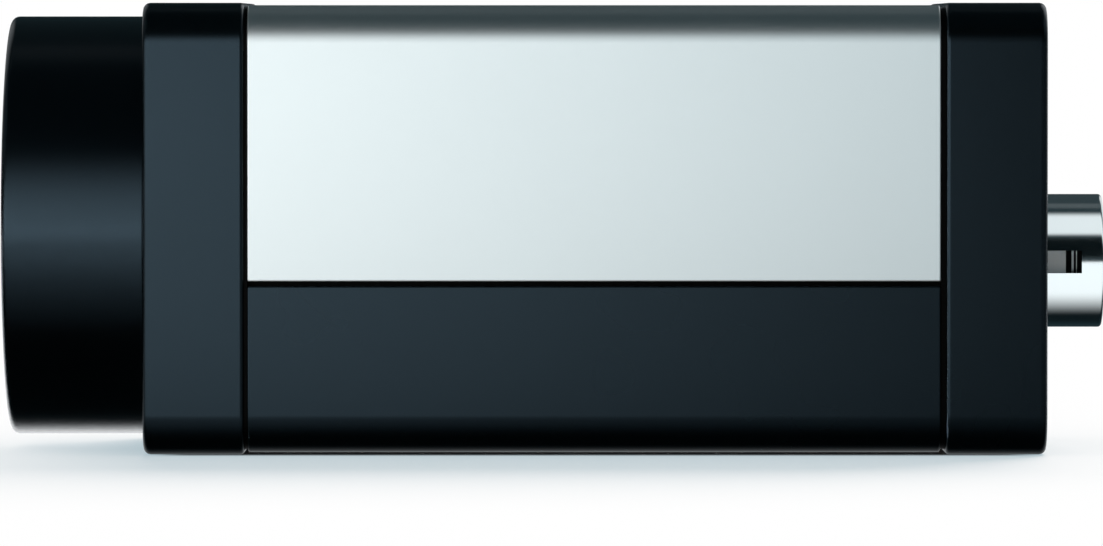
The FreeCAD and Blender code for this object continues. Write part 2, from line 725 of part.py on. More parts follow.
def transceiver_x():
    return X_JACK - TRANSFORMER_L


def inductor_x():
    """Midway between the transceiver and the tails of the jack's contacts."""
    tails = min(contact_tail_x(i) for i in range(CONTACT_COUNT)) - CONTACT_T
    return (transceiver_x() + TRANSCEIVER_W / 2 + tails) / 2


def power_inductor():
    """Shielded inductor with cut corners."""
    half = INDUCTOR_W / 2
    x = inductor_x()
    z = AXIS_Z + half + BOARD_GAP
    low = BOARD_LOW_Y - INDUCTOR_T
    body = box(x - half, x + half, low, BOARD_LOW_Y, z - half, z + half)
    upright = [e for e in body.Edges if e.BoundBox.YLength > INDUCTOR_T / 2]
    return body.makeChamfer(INDUCTOR_W / 5, upright)


def buffer_capacitors():
    """Two polymer capacitors on their square bases, below the contacts' tails."""
    z = contact_z(0) - CONTACT_W - BOARD_GAP - CAPACITOR_R
    first = transceiver_x() + OPTO_L / 2 + BOARD_GAP + CAPACITOR_R
    cans = []
    for x in (first, first + 2 * CAPACITOR_R + BOARD_GAP):
        base = box(x - CAPACITOR_R, x + CAPACITOR_R, BOARD_LOW_Y - CAPACITOR_BASE, BOARD_LOW_Y,
                   z - CAPACITOR_R, z + CAPACITOR_R)
        can = rod_y(BOARD_LOW_Y - CAPACITOR_L, BOARD_LOW_Y - CAPACITOR_BASE, x, z, CAPACITOR_R - SLIP)
        cans.append(base.fuse(can))
    return cans


def optocouplers():
    """Two optocouplers of the trigger lines, above and below the transceiver."""
    half_x, half_z = OPTO_L / 2, OPTO_H / 2
    x = transceiver_x()
    blocks = []
    for side in (-1, 1):
        z = AXIS_Z + side * (TRANSCEIVER_W / 2 + BOARD_GAP + half_z)
        block = box(x - half_x, x + half_x, BOARD_LOW_Y - OPTO_T, BOARD_LOW_Y, z - half_z, z + half_z)
        blocks.append(block)
    return blocks


def lamp_y():
    return BOARD_LOW_Y - LAMP_W / 2


def status_lamps():
    """Right-angle lamps at the board's rear edge, facing the light pipes."""
    half = LAMP_W / 2
    lamps = []
    for z in lamp_places():
        body = box(X_BOARD_BACK - LAMP_L, X_BOARD_BACK, lamp_y() - half, lamp_y() + half, z - half, z + half)
        lamps.append(body)
    return lamps


def light_bars(x_low, x_high, half):
    """Square bars in line with the lamps."""
    y = lamp_y()
    return [box(x_low, x_high, y - half, y + half, z - half, z + half) for z in lamp_places()]


def light_pipes():
    """Clear square bars through the rear plate, in front of the lamps."""
    return light_bars(X_BOARD_BACK + FIT, X_BACK, PIPE_W / 2)


# ---- network jack ----
def contact_z(i):
    return AXIS_Z + (i - (CONTACT_COUNT - 1) / 2) * CONTACT_PITCH


def contact_tail_x(i):
    """Tails stand in two rows."""
    return X_JACK + JACK_SHEET + CONTACT_PITCH * (2 if i % 2 else 4.5)


def contact_tail_places():
    return [(contact_tail_x(i), contact_z(i)) for i in range(CONTACT_COUNT)]


def contact_run_y():
    """Level of the contacts below the plug cavity's floor."""
    return FLOOR_Y - CONTACT_T * 2.5


def contact_bend_x():
    return X_BACK - JACK_SHEET - CONTACT_PITCH * 3


def network_jack_contacts():
    """Formed springs: tail, run under the floor, hairpin and the slanted contact length."""
    run = contact_run_y()
    bend = contact_bend_x()
    springs = []
    for i in range(CONTACT_COUNT):
        tail = contact_tail_x(i)
        z = contact_z(i)
        path = [
            (tail, BOARD_LOW_Y - CONTACT_TAIL),
            (tail, run),
            (bend - CONTACT_T, run),
            (bend + CONTACT_T, run + CONTACT_T),
            (bend + CONTACT_T, run + CONTACT_T * 2.5),
            (bend - CONTACT_T, run + CONTACT_T * 4),
            (bend - PLUG_L / 2, FLOOR_Y + PLUG_H * 0.36),
        ]
        springs.append(strip_along_z(path, CONTACT_T, z - CONTACT_W / 2, z + CONTACT_W / 2))
    return springs


def plug_outline(x_low, x_high, margin):
    """Stepped space of a network plug with its latch, widened by margin."""
    half = PLUG_W / 2 + margin
    latch = LATCH_W / 2 + margin
    tip = LATCH_TIP_W / 2 + margin
    y_plug = FLOOR_Y + PLUG_H + margin
    y_latch = y_plug + LATCH_H
    y_tip = y_latch + LATCH_TIP_H
    return fuse_all([
        box(x_low, x_high, FLOOR_Y - margin, y_plug, AXIS_Z - half, AXIS_Z + half),
        box(x_low, x_high, FLOOR_Y, y_latch, AXIS_Z - latch, AXIS_Z + latch),
        box(x_low, x_high, FLOOR_Y, y_tip, AXIS_Z - tip, AXIS_Z + tip),
    ])


def finger_spans():
    """Y spans of the two grounding fingers on each side of the mouth."""
    middle = FLOOR_Y + PLUG_H / 2
    spans = []
    for side in (-1, 1):
        centre = middle + side * FINGER_DY / 1.5
        spans.append((centre - FINGER_W / 2, centre + FINGER_W / 2))
    return spans


def shield_tab_spans():
    """Z spans of the shield's tabs through the board."""
    edge = JACK_H / 2
    return [(AXIS_Z - edge, AXIS_Z - edge + JACK_SHEET), (AXIS_Z + edge - JACK_SHEET, AXIS_Z + edge)]


def shield_tab_x():
    middle = (X_JACK + X_BOARD_BACK) / 2
    return middle - TAB_W / 2, middle + TAB_W / 2


def network_jack_shield():
    """Folded sheet can: open towards the board, with board tabs and a flanged mouth."""
    half = JACK_H / 2
    sheet = JACK_SHEET
    can = box(X_JACK, X_BACK, JACK_LOW_Y, JACK_HIGH_Y, AXIS_Z - half, AXIS_Z + half)
    inside = box(X_JACK + sheet, X_BACK - sheet, JACK_LOW_Y + sheet, JACK_HIGH_Y - sheet,
                 AXIS_Z - half + sheet, AXIS_Z + half - sheet)
    below = box(X_JACK + JACK_LIP, X_BACK - JACK_LIP, JACK_LOW_Y, JACK_LOW_Y + sheet,
                AXIS_Z - half + JACK_LIP, AXIS_Z + half - JACK_LIP)
    can = cut_all(can, [inside, below, plug_outline(X_BACK - sheet, X_BACK, FINGER_T)])
    pieces = [can]
    x_low, x_high = shield_tab_x()
    for low, high in shield_tab_spans():
        pieces.append(box(x_low, x_high, BOARD_LOW_Y - CONTACT_TAIL, JACK_LOW_Y, low, high))
    for low, high in finger_spans():
        for side in (-1, 1):
            pieces.append(shield_finger(side, low, high))
    return fuse_all(pieces)


def shield_finger(side, y_low, y_high):
    """Grounding spring folded in from the edge of the mouth."""
    edge = PLUG_W / 2 + FINGER_T
    path = [
        (X_BACK - JACK_SHEET, AXIS_Z + side * (edge + FINGER_T)),
        (X_BACK - JACK_SHEET - FINGER_L * 0.8, AXIS_Z + side * (edge - FINGER_T)),
        (X_BACK - JACK_SHEET - FINGER_L, AXIS_Z + side * (edge + FINGER_T)),
    ]
    root = sorted((AXIS_Z + side * edge, AXIS_Z + side * (edge + 2 * FINGER_T)))
    seat = box(X_BACK - JACK_SHEET - FINGER_T, X_BACK - JACK_SHEET, y_low, y_high, *root)
    return strip_along_y(path, FINGER_T, y_low, y_high).fuse(seat)


def network_jack_housing():
    """Moulded insert with the plug cavity, the contact slots and the finger pockets."""
    gap = FIT
    half = JACK_H / 2 - JACK_SHEET - gap
    x_low = X_JACK + JACK_SHEET + gap
    x_high = X_BACK - JACK_SHEET - gap
    body = box(x_low, x_high, JACK_LOW_Y + JACK_SHEET, JACK_HIGH_Y - JACK_SHEET - gap,
               AXIS_Z - half, AXIS_Z + half)
    tools = [plug_outline(X_BACK - JACK_SHEET - PLUG_L, x_high, 0)]
    slot = CONTACT_SLOT / 2
    slot_end = contact_bend_x() + CONTACT_PITCH
    for i in range(CONTACT_COUNT):
        z = contact_z(i)
        x_tail = contact_tail_x(i) - slot
        tools.append(box(x_tail, slot_end, JACK_LOW_Y, FLOOR_Y, z - slot, z + slot))
    deep = X_BACK - JACK_SHEET - FINGER_L - FINGER_W / 2
    for low, high in finger_spans():
        tools.append(box(deep, x_high, low - FIT, high + FIT, AXIS_Z - half, AXIS_Z + half))
    return cut_all(body, tools)


# ---- circular connector ----
def io_connector_shell():
    """Turned shell, pressed into the rear plate, with its latch windows and key."""
    rim = X_BACK + IO_REACH
    shell = turned([
        (X_IO_TAIL, IO_BORE_R),
        (X_IO_TAIL, IO_R),
        (rim - IO_RIM_EDGE, IO_R),
        (rim, IO_R - IO_RIM_EDGE),
        (rim, IO_BORE_R + IO_RIM_EDGE),
        (rim - IO_RIM_EDGE, IO_BORE_R),
    ], IO_Y, IO_Z)
    windows = []
    for i in range(IO_WINDOW_COUNT):
        half = IO_WINDOW_W / 2
        window = box(X_BACK - IO_WINDOW_ROOT, X_BACK + IO_WINDOW_L, IO_Y - IO_R - 1, IO_Y - IO_BORE_R / 2,
                     IO_Z - half, IO_Z + half)
        window.rotate(Vector(0, IO_Y, IO_Z), Vector(1, 0, 0), 360 * i / IO_WINDOW_COUNT)
        windows.append(window)
    shell = cut_all(shell, windows)
    key_low = IO_Z + IO_BORE_R - IO_KEY_H
    key = box(X_BACK + IO_WINDOW_L, rim - 2 * IO_RIM_EDGE, IO_Y - IO_KEY_W / 2, IO_Y + IO_KEY_W / 2,
              key_low, IO_Z + (IO_BORE_R + IO_R) / 2)
    return shell.fuse(key).removeSplitter()


def pin_places():
    step = 360 / IO_PIN_COUNT
    places = []
    for i in range(IO_PIN_COUNT):
        turn = math.radians(step * (i + 0.5))
        places.append((IO_Y + IO_PIN_CIRCLE_R * math.cos(turn), IO_Z + IO_PIN_CIRCLE_R * math.sin(turn)))
    return places


def io_connector_insulator():
    """Insulator with a shoulder against the shell's inner end."""
    face = X_BACK + IO_CORE_REACH
    core_r = IO_BORE_R - SLIP
    return turned([
        (X_IO_CORE, 0),
        (X_IO_CORE, IO_R),
        (X_IO_TAIL, IO_R),
        (X_IO_TAIL, core_r),
        (face, core_r),
        (face, 0),
    ], IO_Y, IO_Z)


def io_connector_pins():
    """Contact pins in front of the insulator's face."""
    face = X_BACK + IO_CORE_REACH
    return [hexagon_x(face, face + IO_PIN_REACH, y, z, 2 * IO_PIN_R) for y, z in pin_places()]


def io_board():
    """Small board behind the insulator, soldered to the interface board at its edge."""
    half = IO_BOARD_H / 2
    low = IO_Y - IO_R - BOARD_GAP
    return box(X_IO_BOARD, X_IO_CORE, low, BOARD_LOW_Y, IO_Z - half, IO_Z + half)


# ---- one file for each kind of piece ----
def pieces():
    link_plug, link_socket = board_link()
    return {
        "lens_mount_ring": lens_mount_ring(),
        "filter_glass": filter_glass(),
        "front_plate": front_plate(),
        "upper_cover": upper_cover(),
        "lower_tray": lower_tray(),
        "rear_plate": rear_plate(),
        "rear_screws": rear_screws(),
        "sensor_package": sensor_package(),
        "sensor_die": sensor_die(),
        "sensor_cover_glass": sensor_cover_glass(),
        "sensor_seal_frame": sensor_seal_frame(),
        "sensor_board": upright_board(X_SENSOR_BOARD),
        "board_spacers": [board_spacer(y, z) for y, z in post_places()],
        "board_screws": [board_screw(y, z) for y, z in post_places()],
        "board_link_plug": link_plug,
        "board_link_socket": link_socket,
        "processor_board": upright_board(X_PROCESSOR_BOARD),
        "image_processor_chip": image_processor_chip(),
        "memory_chips": memory_chips(),
        "thermal_pad": thermal_pad(),
        "heat_bridge": heat_bridge(),
        "interface_socket": interface_socket(),
        "interface_board": interface_board(),
        "network_transformer": network_transformer(),
        "network_transceiver_chip": network_transceiver_chip(),
        "power_inductor": power_inductor(),
        "buffer_capacitors": buffer_capacitors(),
        "optocouplers": optocouplers(),
        "status_lamps": status_lamps(),
        "light_pipes": light_pipes(),
        "network_jack_shield": network_jack_shield(),
        "network_jack_housing": network_jack_housing(),
        "network_jack_contacts": network_jack_contacts(),
        "io_connector_shell": io_connector_shell(),
        "io_connector_insulator": io_connector_insulator(),
        "io_connector_pins": io_connector_pins(),
        "io_board": io_board(),
    }


def main():
    os.makedirs("parts", exist_ok=True)
    for node, shape in pieces().items():
        if isinstance(shape, list):
            shape = Part.makeCompound(shape)
        shape.exportStep("parts/" + node + ".step")


main()
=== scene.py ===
"""Machine vision camera: detailed pieces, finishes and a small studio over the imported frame."""

import math

import bmesh
import bpy
from bpy.props import FloatProperty, FloatVectorProperty, IntProperty, PointerProperty
from mathutils import Matrix, Vector


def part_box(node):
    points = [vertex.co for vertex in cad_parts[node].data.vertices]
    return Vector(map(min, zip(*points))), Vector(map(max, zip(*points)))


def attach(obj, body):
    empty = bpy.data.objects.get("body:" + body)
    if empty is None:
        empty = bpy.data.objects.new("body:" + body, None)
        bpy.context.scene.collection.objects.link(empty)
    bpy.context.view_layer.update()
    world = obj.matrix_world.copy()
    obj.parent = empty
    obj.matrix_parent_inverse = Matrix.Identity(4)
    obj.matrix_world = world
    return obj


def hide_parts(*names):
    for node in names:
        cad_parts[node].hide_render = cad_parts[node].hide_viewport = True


bl_info = {
    "name": "Machine Vision Camera",
    "version": (1, 0, 0),
    "blender": (4, 5, 0),
    "location": "3D View > Sidebar > Camera Part",
    "description": "Dresses a machine vision camera: turned nose, plates, covers, connectors and stage",
    "category": "Object",
}

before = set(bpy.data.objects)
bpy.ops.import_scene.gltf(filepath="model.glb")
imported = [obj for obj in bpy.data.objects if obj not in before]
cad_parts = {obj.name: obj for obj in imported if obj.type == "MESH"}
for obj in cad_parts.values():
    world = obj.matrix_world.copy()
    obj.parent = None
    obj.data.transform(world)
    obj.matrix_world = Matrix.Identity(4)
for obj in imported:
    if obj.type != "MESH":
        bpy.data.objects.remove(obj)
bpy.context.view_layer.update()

MM = 0.001
RING_LOW, RING_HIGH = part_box("lens_mount_ring")
COVER_LOW, COVER_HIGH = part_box("upper_cover")
TRAY_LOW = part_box("lower_tray")[0]
FRONT_LOW, FRONT_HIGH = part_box("front_plate")
REAR_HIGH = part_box("rear_plate")[1]
GLASS_LOW, GLASS_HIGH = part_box("filter_glass")
SHELL_LOW, SHELL_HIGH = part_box("io_connector_shell")
CORE_LOW, CORE_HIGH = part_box("io_connector_insulator")
PIN_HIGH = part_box("io_connector_pins")[1]
JACK_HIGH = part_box("network_jack_shield")[1]
SCREW_LOW, SCREW_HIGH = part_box("rear_screws")
PIPE_LOW, PIPE_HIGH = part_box("light_pipes")
DIE_LOW, DIE_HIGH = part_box("sensor_die")
PACKAGE_LOW, PACKAGE_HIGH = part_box("sensor_package")

AXIS = (RING_LOW + RING_HIGH) / 2
HALF = (FRONT_HIGH.y - FRONT_LOW.y) / 2
COVER_HALF = (COVER_HIGH.y - COVER_LOW.y) / 2
SHELL_AXIS = (SHELL_LOW + SHELL_HIGH) / 2
SHELL_R = (SHELL_HIGH.y - SHELL_LOW.y) / 2
X_BACK = REAR_HIGH.x

TOUCH = 1e-7             # points this near are one
ALONG = (1, 0, 0)        # the optical axis, towards the rear
SCREW_HEAD_R = 1.75 * MM
JACK_WIDTH = 12.6 * MM   # shell of the network jack, without its legs to the board
JACK_HEIGHT = 15.9 * MM
LOCK_BESIDE = 2.95 * MM  # middles of the lock holes from the jack's shell
LOCK_R = 1.0 * MM
PACKAGE_GAP = 0.5 * MM   # opening round the sensor's package


# ---- settings ----
class BodySettings(bpy.types.PropertyGroup):
    corner_radius: FloatProperty(
        name="Corner Radius", description="Rounding of the plates' long edges",
        default=2.6 * MM, unit="LENGTH")
    neck_length: FloatProperty(
        name="Neck Length", description="Shadow joint between a plate and the covers",
        default=0.22 * MM, unit="LENGTH")
    neck_inset: FloatProperty(
        name="Neck Inset", description="Depth of the shadow joint below the plates' faces",
        default=0.35 * MM, unit="LENGTH")
    inner_edge: FloatProperty(
        name="Joint Edge", description="Broken edges beside the joints",
        default=0.28 * MM, unit="LENGTH")
    outer_edge: FloatProperty(
        name="Outer Edge", description="Rounding of both plates' outer ends",
        default=0.45 * MM, unit="LENGTH")
    end_gap: FloatProperty(
        name="Rear Joint", description="Added width of the joint before the rear plate",
        default=0.12 * MM, unit="LENGTH")
    wall: FloatProperty(
        name="Cover Wall", description="Wall thickness of both covers",
        default=1.5 * MM, unit="LENGTH")
    corner_steps: IntProperty(
        name="Corner Steps", description="Faces round each rounded long edge", default=14, min=4, max=32)


class NoseSettings(bpy.types.PropertyGroup):
    edge: FloatProperty(
        name="Nose Edge", description="Rounding of the nose's front edge",
        default=0.5 * MM, unit="LENGTH")
    thread_root: FloatProperty(
        name="Thread Root Radius", description="Radius at the bottom of the lens thread",
        default=12.68 * MM, unit="LENGTH")
    thread_crest: FloatProperty(
        name="Thread Crest Radius", description="Radius at the crests of the lens thread",
        default=12.27 * MM, unit="LENGTH")
    thread_pitch: FloatProperty(
        name="Thread Pitch", description="Lead of the lens thread", default=0.79375 * MM, unit="LENGTH")
    thread_turns: IntProperty(
        name="Thread Turns", description="Turns of the lens thread", default=7, min=1, max=9)


class ConnectorSettings(bpy.types.PropertyGroup):
    bore_radius: FloatProperty(
        name="Bore Radius", description="Inside of the round connector's shell",
        default=3.55 * MM, unit="LENGTH")
    groove_start: FloatProperty(
        name="Latch Groove", description="Latch groove's distance from the rear plate",
        default=1.55 * MM, unit="LENGTH")
    groove_length: FloatProperty(
        name="Groove Length", description="Width of the latch groove", default=0.5 * MM, unit="LENGTH")
    window_length: FloatProperty(
        name="Window Length", description="Latch windows beyond the rear plate",
        default=2.35 * MM, unit="LENGTH")
    window_width: FloatProperty(
        name="Window Width", description="Width of the latch windows", default=1.45 * MM, unit="LENGTH")
    window_count: IntProperty(
        name="Window Count", description="Latch windows round the shell", default=3, min=1, max=6)
    core_rim: FloatProperty(
        name="Core Rim", description="Rim of the moulded core beyond its face",
        default=0.26 * MM, unit="LENGTH")
    pin_count: IntProperty(
        name="Pin Count", description="Contact pins in the shell", default=6, min=1, max=12)
    pin_circle: FloatProperty(
        name="Pin Circle Radius", description="Radius on which the pins stand",
        default=2.0 * MM, unit="LENGTH")
    pin_radius: FloatProperty(
        name="Pin Radius", description="Radius of a contact pin", default=0.25 * MM, unit="LENGTH")


class FinishSettings(bpy.types.PropertyGroup):
    nose: FloatVectorProperty(
        name="Nose", description="Gloss black anodising of the nose",
        default=(0.0006, 0.0010, 0.0012), subtype="COLOR", size=3, min=0, max=1)
    black: FloatVectorProperty(
        name="Black Anodising", description="Satin black of the plates and the tray",
        default=(0.0005, 0.0013, 0.0014), subtype="COLOR", size=3, min=0, max=1)
    black_tint: FloatVectorProperty(
        name="Black Reflection", description="Tint of the black anodising's reflections",
        default=(0.50, 0.78, 1.0), subtype="COLOR", size=3, min=0, max=1)
    silver: FloatVectorProperty(
        name="Silver Anodising", description="Satin silver of the upper cover",
        default=(0.77, 0.83, 0.835), subtype="COLOR", size=3, min=0, max=1)
    nickel: FloatVectorProperty(
        name="Nickel", description="Bright plating of the round connector",
        default=(0.765, 0.84, 0.86), subtype="COLOR", size=3, min=0, max=1)
    insulator: FloatVectorProperty(
        name="Insulator", description="Moulded core of the round connector",
        default=(0.52, 0.60, 0.63), subtype="COLOR", size=3, min=0, max=1)
    board: FloatVectorProperty(
        name="Board", description="Solder mask of the circuit boards",
        default=(0.012, 0.12, 0.05), subtype="COLOR", size=3, min=0, max=1)


class StageSettings(bpy.types.PropertyGroup):
    lens: FloatProperty(
        name="Lens", description="Focal length of the stage's camera", default=298.9, unit="CAMERA")
    distance: FloatProperty(
        name="Distance", description="Camera's distance from the optical axis",
        default=0.600, unit="LENGTH")
    elevation: FloatProperty(
        name="Elevation", description="Camera's angle above the floor",
        default=math.radians(1.5), subtype="ANGLE")
    aim_drop: FloatProperty(
        name="Aim Drop", description="Aim below the optical axis", default=3.155 * MM, unit="LENGTH")
    aim_shift: FloatProperty(
        name="Aim Shift", description="Aim along the optical axis from the middle",
        default=-0.13 * MM, unit="LENGTH")
    key: FloatProperty(
        name="Light Walls", description="Level of the walls of light that gloss and metal show",
        default=2.1, min=0)
    floor: FloatVectorProperty(
        name="Floor", description="Colour of the plain floor",
        default=(0.62, 0.51, 0.46), subtype="COLOR", size=3, min=0, max=1)
    daylight: FloatProperty(
        name="Daylight", description="Share of the floor's light that comes from all round",
        default=0.42, min=0, max=1, subtype="FACTOR")
    lamp_height: FloatProperty(
        name="Lamp Height", description="Angle of the soft lamp behind the housing above the floor",
        default=math.radians(40), subtype="ANGLE")
    lamp_turn: FloatProperty(
        name="Lamp Turn", description="How far the soft lamp stands to the right of straight behind",
        default=math.radians(16), subtype="ANGLE")
    lamp_width: FloatProperty(
        name="Lamp Width", description="Angle across the soft lamp, which softens the shadow",
        default=math.radians(38), subtype="ANGLE")


def settings(name):
    return getattr(bpy.context.scene, name)


# ---- mesh helpers ----
def bar(bm, low, high):
    """Straight bar between two corners."""
    low, high = Vector(low), Vector(high)
    made = bmesh.ops.create_cube(bm, size=1)["verts"]
    bmesh.ops.scale(bm, vec=high - low, verts=made)
    bmesh.ops.translate(bm, vec=(low + high) / 2, verts=made)
    return made


def round_edges(bm, edges, width, steps):
    bmesh.ops.bevel(
        bm, geom=edges, offset=width, offset_type="OFFSET", segments=steps, profile=0.5,
        affect="EDGES", clamp_overlap=True, material=-1)


def long_edges(verts):
    """Edges of these vertices that run along the optical axis."""
    found = dict.fromkeys(e for v in verts for e in v.link_edges)
    return [e for e in found if abs((e.verts[1].co - e.verts[0].co).normalized().x) > 0.999]


def rim_edges(bm, x):
    """Edges that lie in the plane at x and bound the flat end there."""
    return [e for e in bm.edges if all(abs(v.co.x - x) < TOUCH for v in e.verts)]


def rounded_bar(x_low, x_high, half, radius, rim_low, rim_high):
    """Square bar about the optical axis with rounded long edges and broken rims."""
    steps = settings("camera_body").corner_steps
    bm = bmesh.new()
    made = bar(bm, (x_low, AXIS.y - half, AXIS.z - half), (x_high, AXIS.y + half, AXIS.z + half))
    round_edges(bm, long_edges(made), radius, steps)
    for x, width in ((x_low, rim_low), (x_high, rim_high)):
        if width > 0:
            round_edges(bm, rim_edges(bm, x), width, 4)
    return bm


def turned(bm, profile, centre, axis=ALONG, steps=96):
    """Turned solid from (distance along the axis, radius) points; ends on the axis close it."""
    along = Vector(axis).normalized()
    side = along.orthogonal().normalized()
    verts = [bm.verts.new(Vector(centre) + along * x + side * r) for x, r in profile]
    closed = profile[0][1] > 0 or profile[-1][1] > 0
    pairs = list(zip(verts, verts[1:])) + ([(verts[-1], verts[0])] if closed else [])
    edges = [bm.edges.new(pair) for pair in pairs]
    bmesh.ops.spin(
        bm, geom=verts + edges, cent=centre, axis=along, dvec=(0, 0, 0), angle=2 * math.pi,
        steps=steps, use_merge=True, use_normal_flip=False, use_duplicate=False)


def helix(bm, section, centre, axis, pitch, turns, steps):
    """Ridge with an (along, radius) section, wound round an axis."""
    along = Vector(axis).normalized()
    side = along.orthogonal().normalized()
    verts = [bm.verts.new(Vector(centre) + along * x + side * r) for x, r in section]
    first = bm.faces.new(verts)
    bmesh.ops.spin(
        bm, geom=[first], cent=centre, axis=along, dvec=along * (pitch / steps),
        angle=2 * math.pi * turns, steps=steps * turns, use_merge=False, use_normal_flip=False,
        use_duplicate=False)


def thread(bm, centre, axis, crest, root, pitch, turns, steps):
    """Internal thread's ridge, from the root's wall to the crest."""
    section = [(0, root), (pitch * 0.44, crest), (pitch * 0.56, crest), (pitch, root)]
    helix(bm, section, centre, axis, pitch * 0.998, turns, steps)


def hole(bm, mouth, axis, radius, depth, flare=0.1 * MM, steps=48):
    """Cutter for a round hole with a broken mouth; axis points out of the hole."""
    over = 0.5 * MM
    profile = [(over, 0), (over, radius + flare + over), (-flare, radius), (-depth, radius), (-depth, 0)]
    turned(bm, profile, mouth, axis, steps)


def tidy(bm):
    bmesh.ops.remove_doubles(bm, verts=bm.verts, dist=TOUCH)
    bmesh.ops.recalc_face_normals(bm, faces=bm.faces)


def shade(mesh, sharp):
    """Smooth faces whose edges stay sharp past an angle."""
    bm = bmesh.new()
    bm.from_mesh(mesh)
    for face in bm.faces:
        face.smooth = True
    for edge in bm.edges:
        edge.smooth = len(edge.link_faces) == 2 and edge.calc_face_angle(math.pi) < math.radians(sharp)
    bm.to_mesh(mesh)
    bm.free()


def piece(name, bm, material, nodes=(), cutters=None, sharp=30.0):
    """Object from a bmesh that rides on the housing and stands for CAD nodes."""
    tidy(bm)
    mesh = bpy.data.meshes.new(name)
    bm.to_mesh(mesh)
    bm.free()
    mesh.materials.append(material)
    obj = bpy.data.objects.new(name, mesh)
    bpy.context.scene.collection.objects.link(obj)
    if cutters is not None:
        carve(obj, cutters)
    shade(obj.data, sharp)
    weighted = obj.modifiers.new("Even Normals", "WEIGHTED_NORMAL")
    weighted.keep_sharp = True
    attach(obj, "root")
    if nodes:
        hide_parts(*nodes)
    return obj


def carve(obj, cutters):
    """Cut the shapes of a bmesh out of a piece."""
    tidy(cutters)
    mesh = bpy.data.meshes.new("cutters")
    cutters.to_mesh(mesh)
    cutters.free()
    tool = bpy.data.objects.new("cutters", mesh)
    bpy.context.scene.collection.objects.link(tool)
    cut = obj.modifiers.new("Carve", "BOOLEAN")
    cut.operation = "DIFFERENCE"
    cut.solver = "EXACT"
    cut.object = tool
    with bpy.context.temp_override(object=obj, active_object=obj):
        done = bpy.ops.object.modifier_apply(modifier=cut.name)
    if "FINISHED" not in done:
        raise RuntimeError("could not carve " + obj.name)
    bpy.data.objects.remove(tool)
    bpy.data.meshes.remove(mesh)


def merged_copy(node):
    """Editable copy of a CAD node's mesh, with its loose triangles joined."""
    bm = bmesh.new()
    bm.from_mesh(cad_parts[node].data)
    bmesh.ops.remove_doubles(bm, verts=bm.verts, dist=TOUCH)
    bmesh.ops.dissolve_limit(
        bm, angle_limit=math.radians(0.5), use_dissolve_boundaries=False,
        verts=bm.verts, edges=bm.edges, delimit=set())
    return bm


# ---- material helpers ----
class Nodes:
    """Short way to add and join shader nodes in one tree."""

    def __init__(self, tree):
        self.tree = tree
        self.column = 0

    def add(self, kind, **values):
        node = self.tree.nodes.new(kind)
        self.column += 1
        node.location = (180 * (self.column % 9), -220 * (self.column // 9))
        for name, value in values.items():
            setattr(node, name, value)
        return node

    def link(self, out, into):
        self.tree.links.new(out, into)

    def put(self, value, socket):
        """Link an output to a socket, or set the socket to a value."""
        if isinstance(value, bpy.types.NodeSocket):
            self.link(value, socket)
        else:
            socket.default_value = value

    def feed(self, node, **inputs):
        """Set or link inputs; a name's underscores stand for spaces."""
        for name, value in inputs.items():
            self.put(value, node.inputs[name.replace("_", " ")])
        return node

    def operate(self, kind, operation, values):
        node = self.add(kind, operation=operation)
        for socket, value in zip(node.inputs, values):
            self.put(value, socket)
        return node.outputs[0]

    def math(self, operation, *values):
        return self.operate("ShaderNodeMath", operation, values)

    def vector(self, operation, *values):
        return self.operate("ShaderNodeVectorMath", operation, values)

    def steps(self, value, low, high, out_low=0.0, out_high=1.0, smooth=True):
        """Ramp from out_low to out_high while the value goes from low to high."""
        kind = "SMOOTHSTEP" if smooth else "LINEAR"
        node = self.add("ShaderNodeMapRange", interpolation_type=kind)
        self.feed(node, Value=value, From_Min=low, From_Max=high, To_Min=out_low, To_Max=out_high)
        return node.outputs["Result"]

    def blend(self, factor, first, second):
        """Mix of two colours; a mix node's colours are its inputs 6 and 7 and its output 2."""
        node = self.add("ShaderNodeMix", data_type="RGBA")
        for index, value in ((0, factor), (6, first), (7, second)):
            self.put(value, node.inputs[index])
        return node.outputs[2]

    def place(self):
        """Position in the object's own coordinates."""
        return self.add("ShaderNodeTexCoord").outputs["Object"]

    def split(self, vector):
        parts = self.add("ShaderNodeSeparateXYZ")
        self.link(vector, parts.inputs[0])
        return parts.outputs["X"], parts.outputs["Y"], parts.outputs["Z"]

    def patch(self, across, upright, left, right, base, top, soft_x, soft_y):
        """Mask of a soft-edged rectangle."""
        into = self.steps(across, left - soft_x, left + soft_x)
        out = self.steps(across, right - soft_x, right + soft_x, 1.0, 0.0)
        over = self.steps(upright, base - soft_y, base + soft_y)
        under = self.steps(upright, top - soft_y, top + soft_y, 1.0, 0.0)
        wide = self.math("MULTIPLY", into, out)
        return self.math("MULTIPLY", wide, self.math("MULTIPLY", over, under))

    def bump(self, height, strength, distance=0.01 * MM, **more):
        node = self.add("ShaderNodeBump")
        self.feed(node, Strength=strength, Distance=distance, Height=height, **more)
        return node.outputs["Normal"]

    def noise(self, vector, scale, detail=3.0, roughness=0.55):
        node = self.add("ShaderNodeTexNoise")
        self.feed(node, Vector=vector, Scale=scale, Detail=detail, Roughness=roughness)
        return node.outputs["Fac"]


def group(name, inputs, outputs, build):
    """Shader node group, built once; build fills it and returns its outputs by name."""
    made = bpy.data.node_groups.get(name)
    if made:
        return made
    made = bpy.data.node_groups.new(name, "ShaderNodeTree")
    for label, kind, default in inputs:
        socket = made.interface.new_socket(label, in_out="INPUT", socket_type=kind)
        if default is not None:
            socket.default_value = default
    for label, kind in outputs:
        made.interface.new_socket(label, in_out="OUTPUT", socket_type=kind)
    nodes = Nodes(made)
    entry = nodes.add("NodeGroupInput")
    leave = nodes.add("NodeGroupOutput")
    for label, socket in build(nodes, entry.outputs).items():
        nodes.link(socket, leave.inputs[label])
    return made


def rgba(colour):
    return (colour[0], colour[1], colour[2], 1.0)


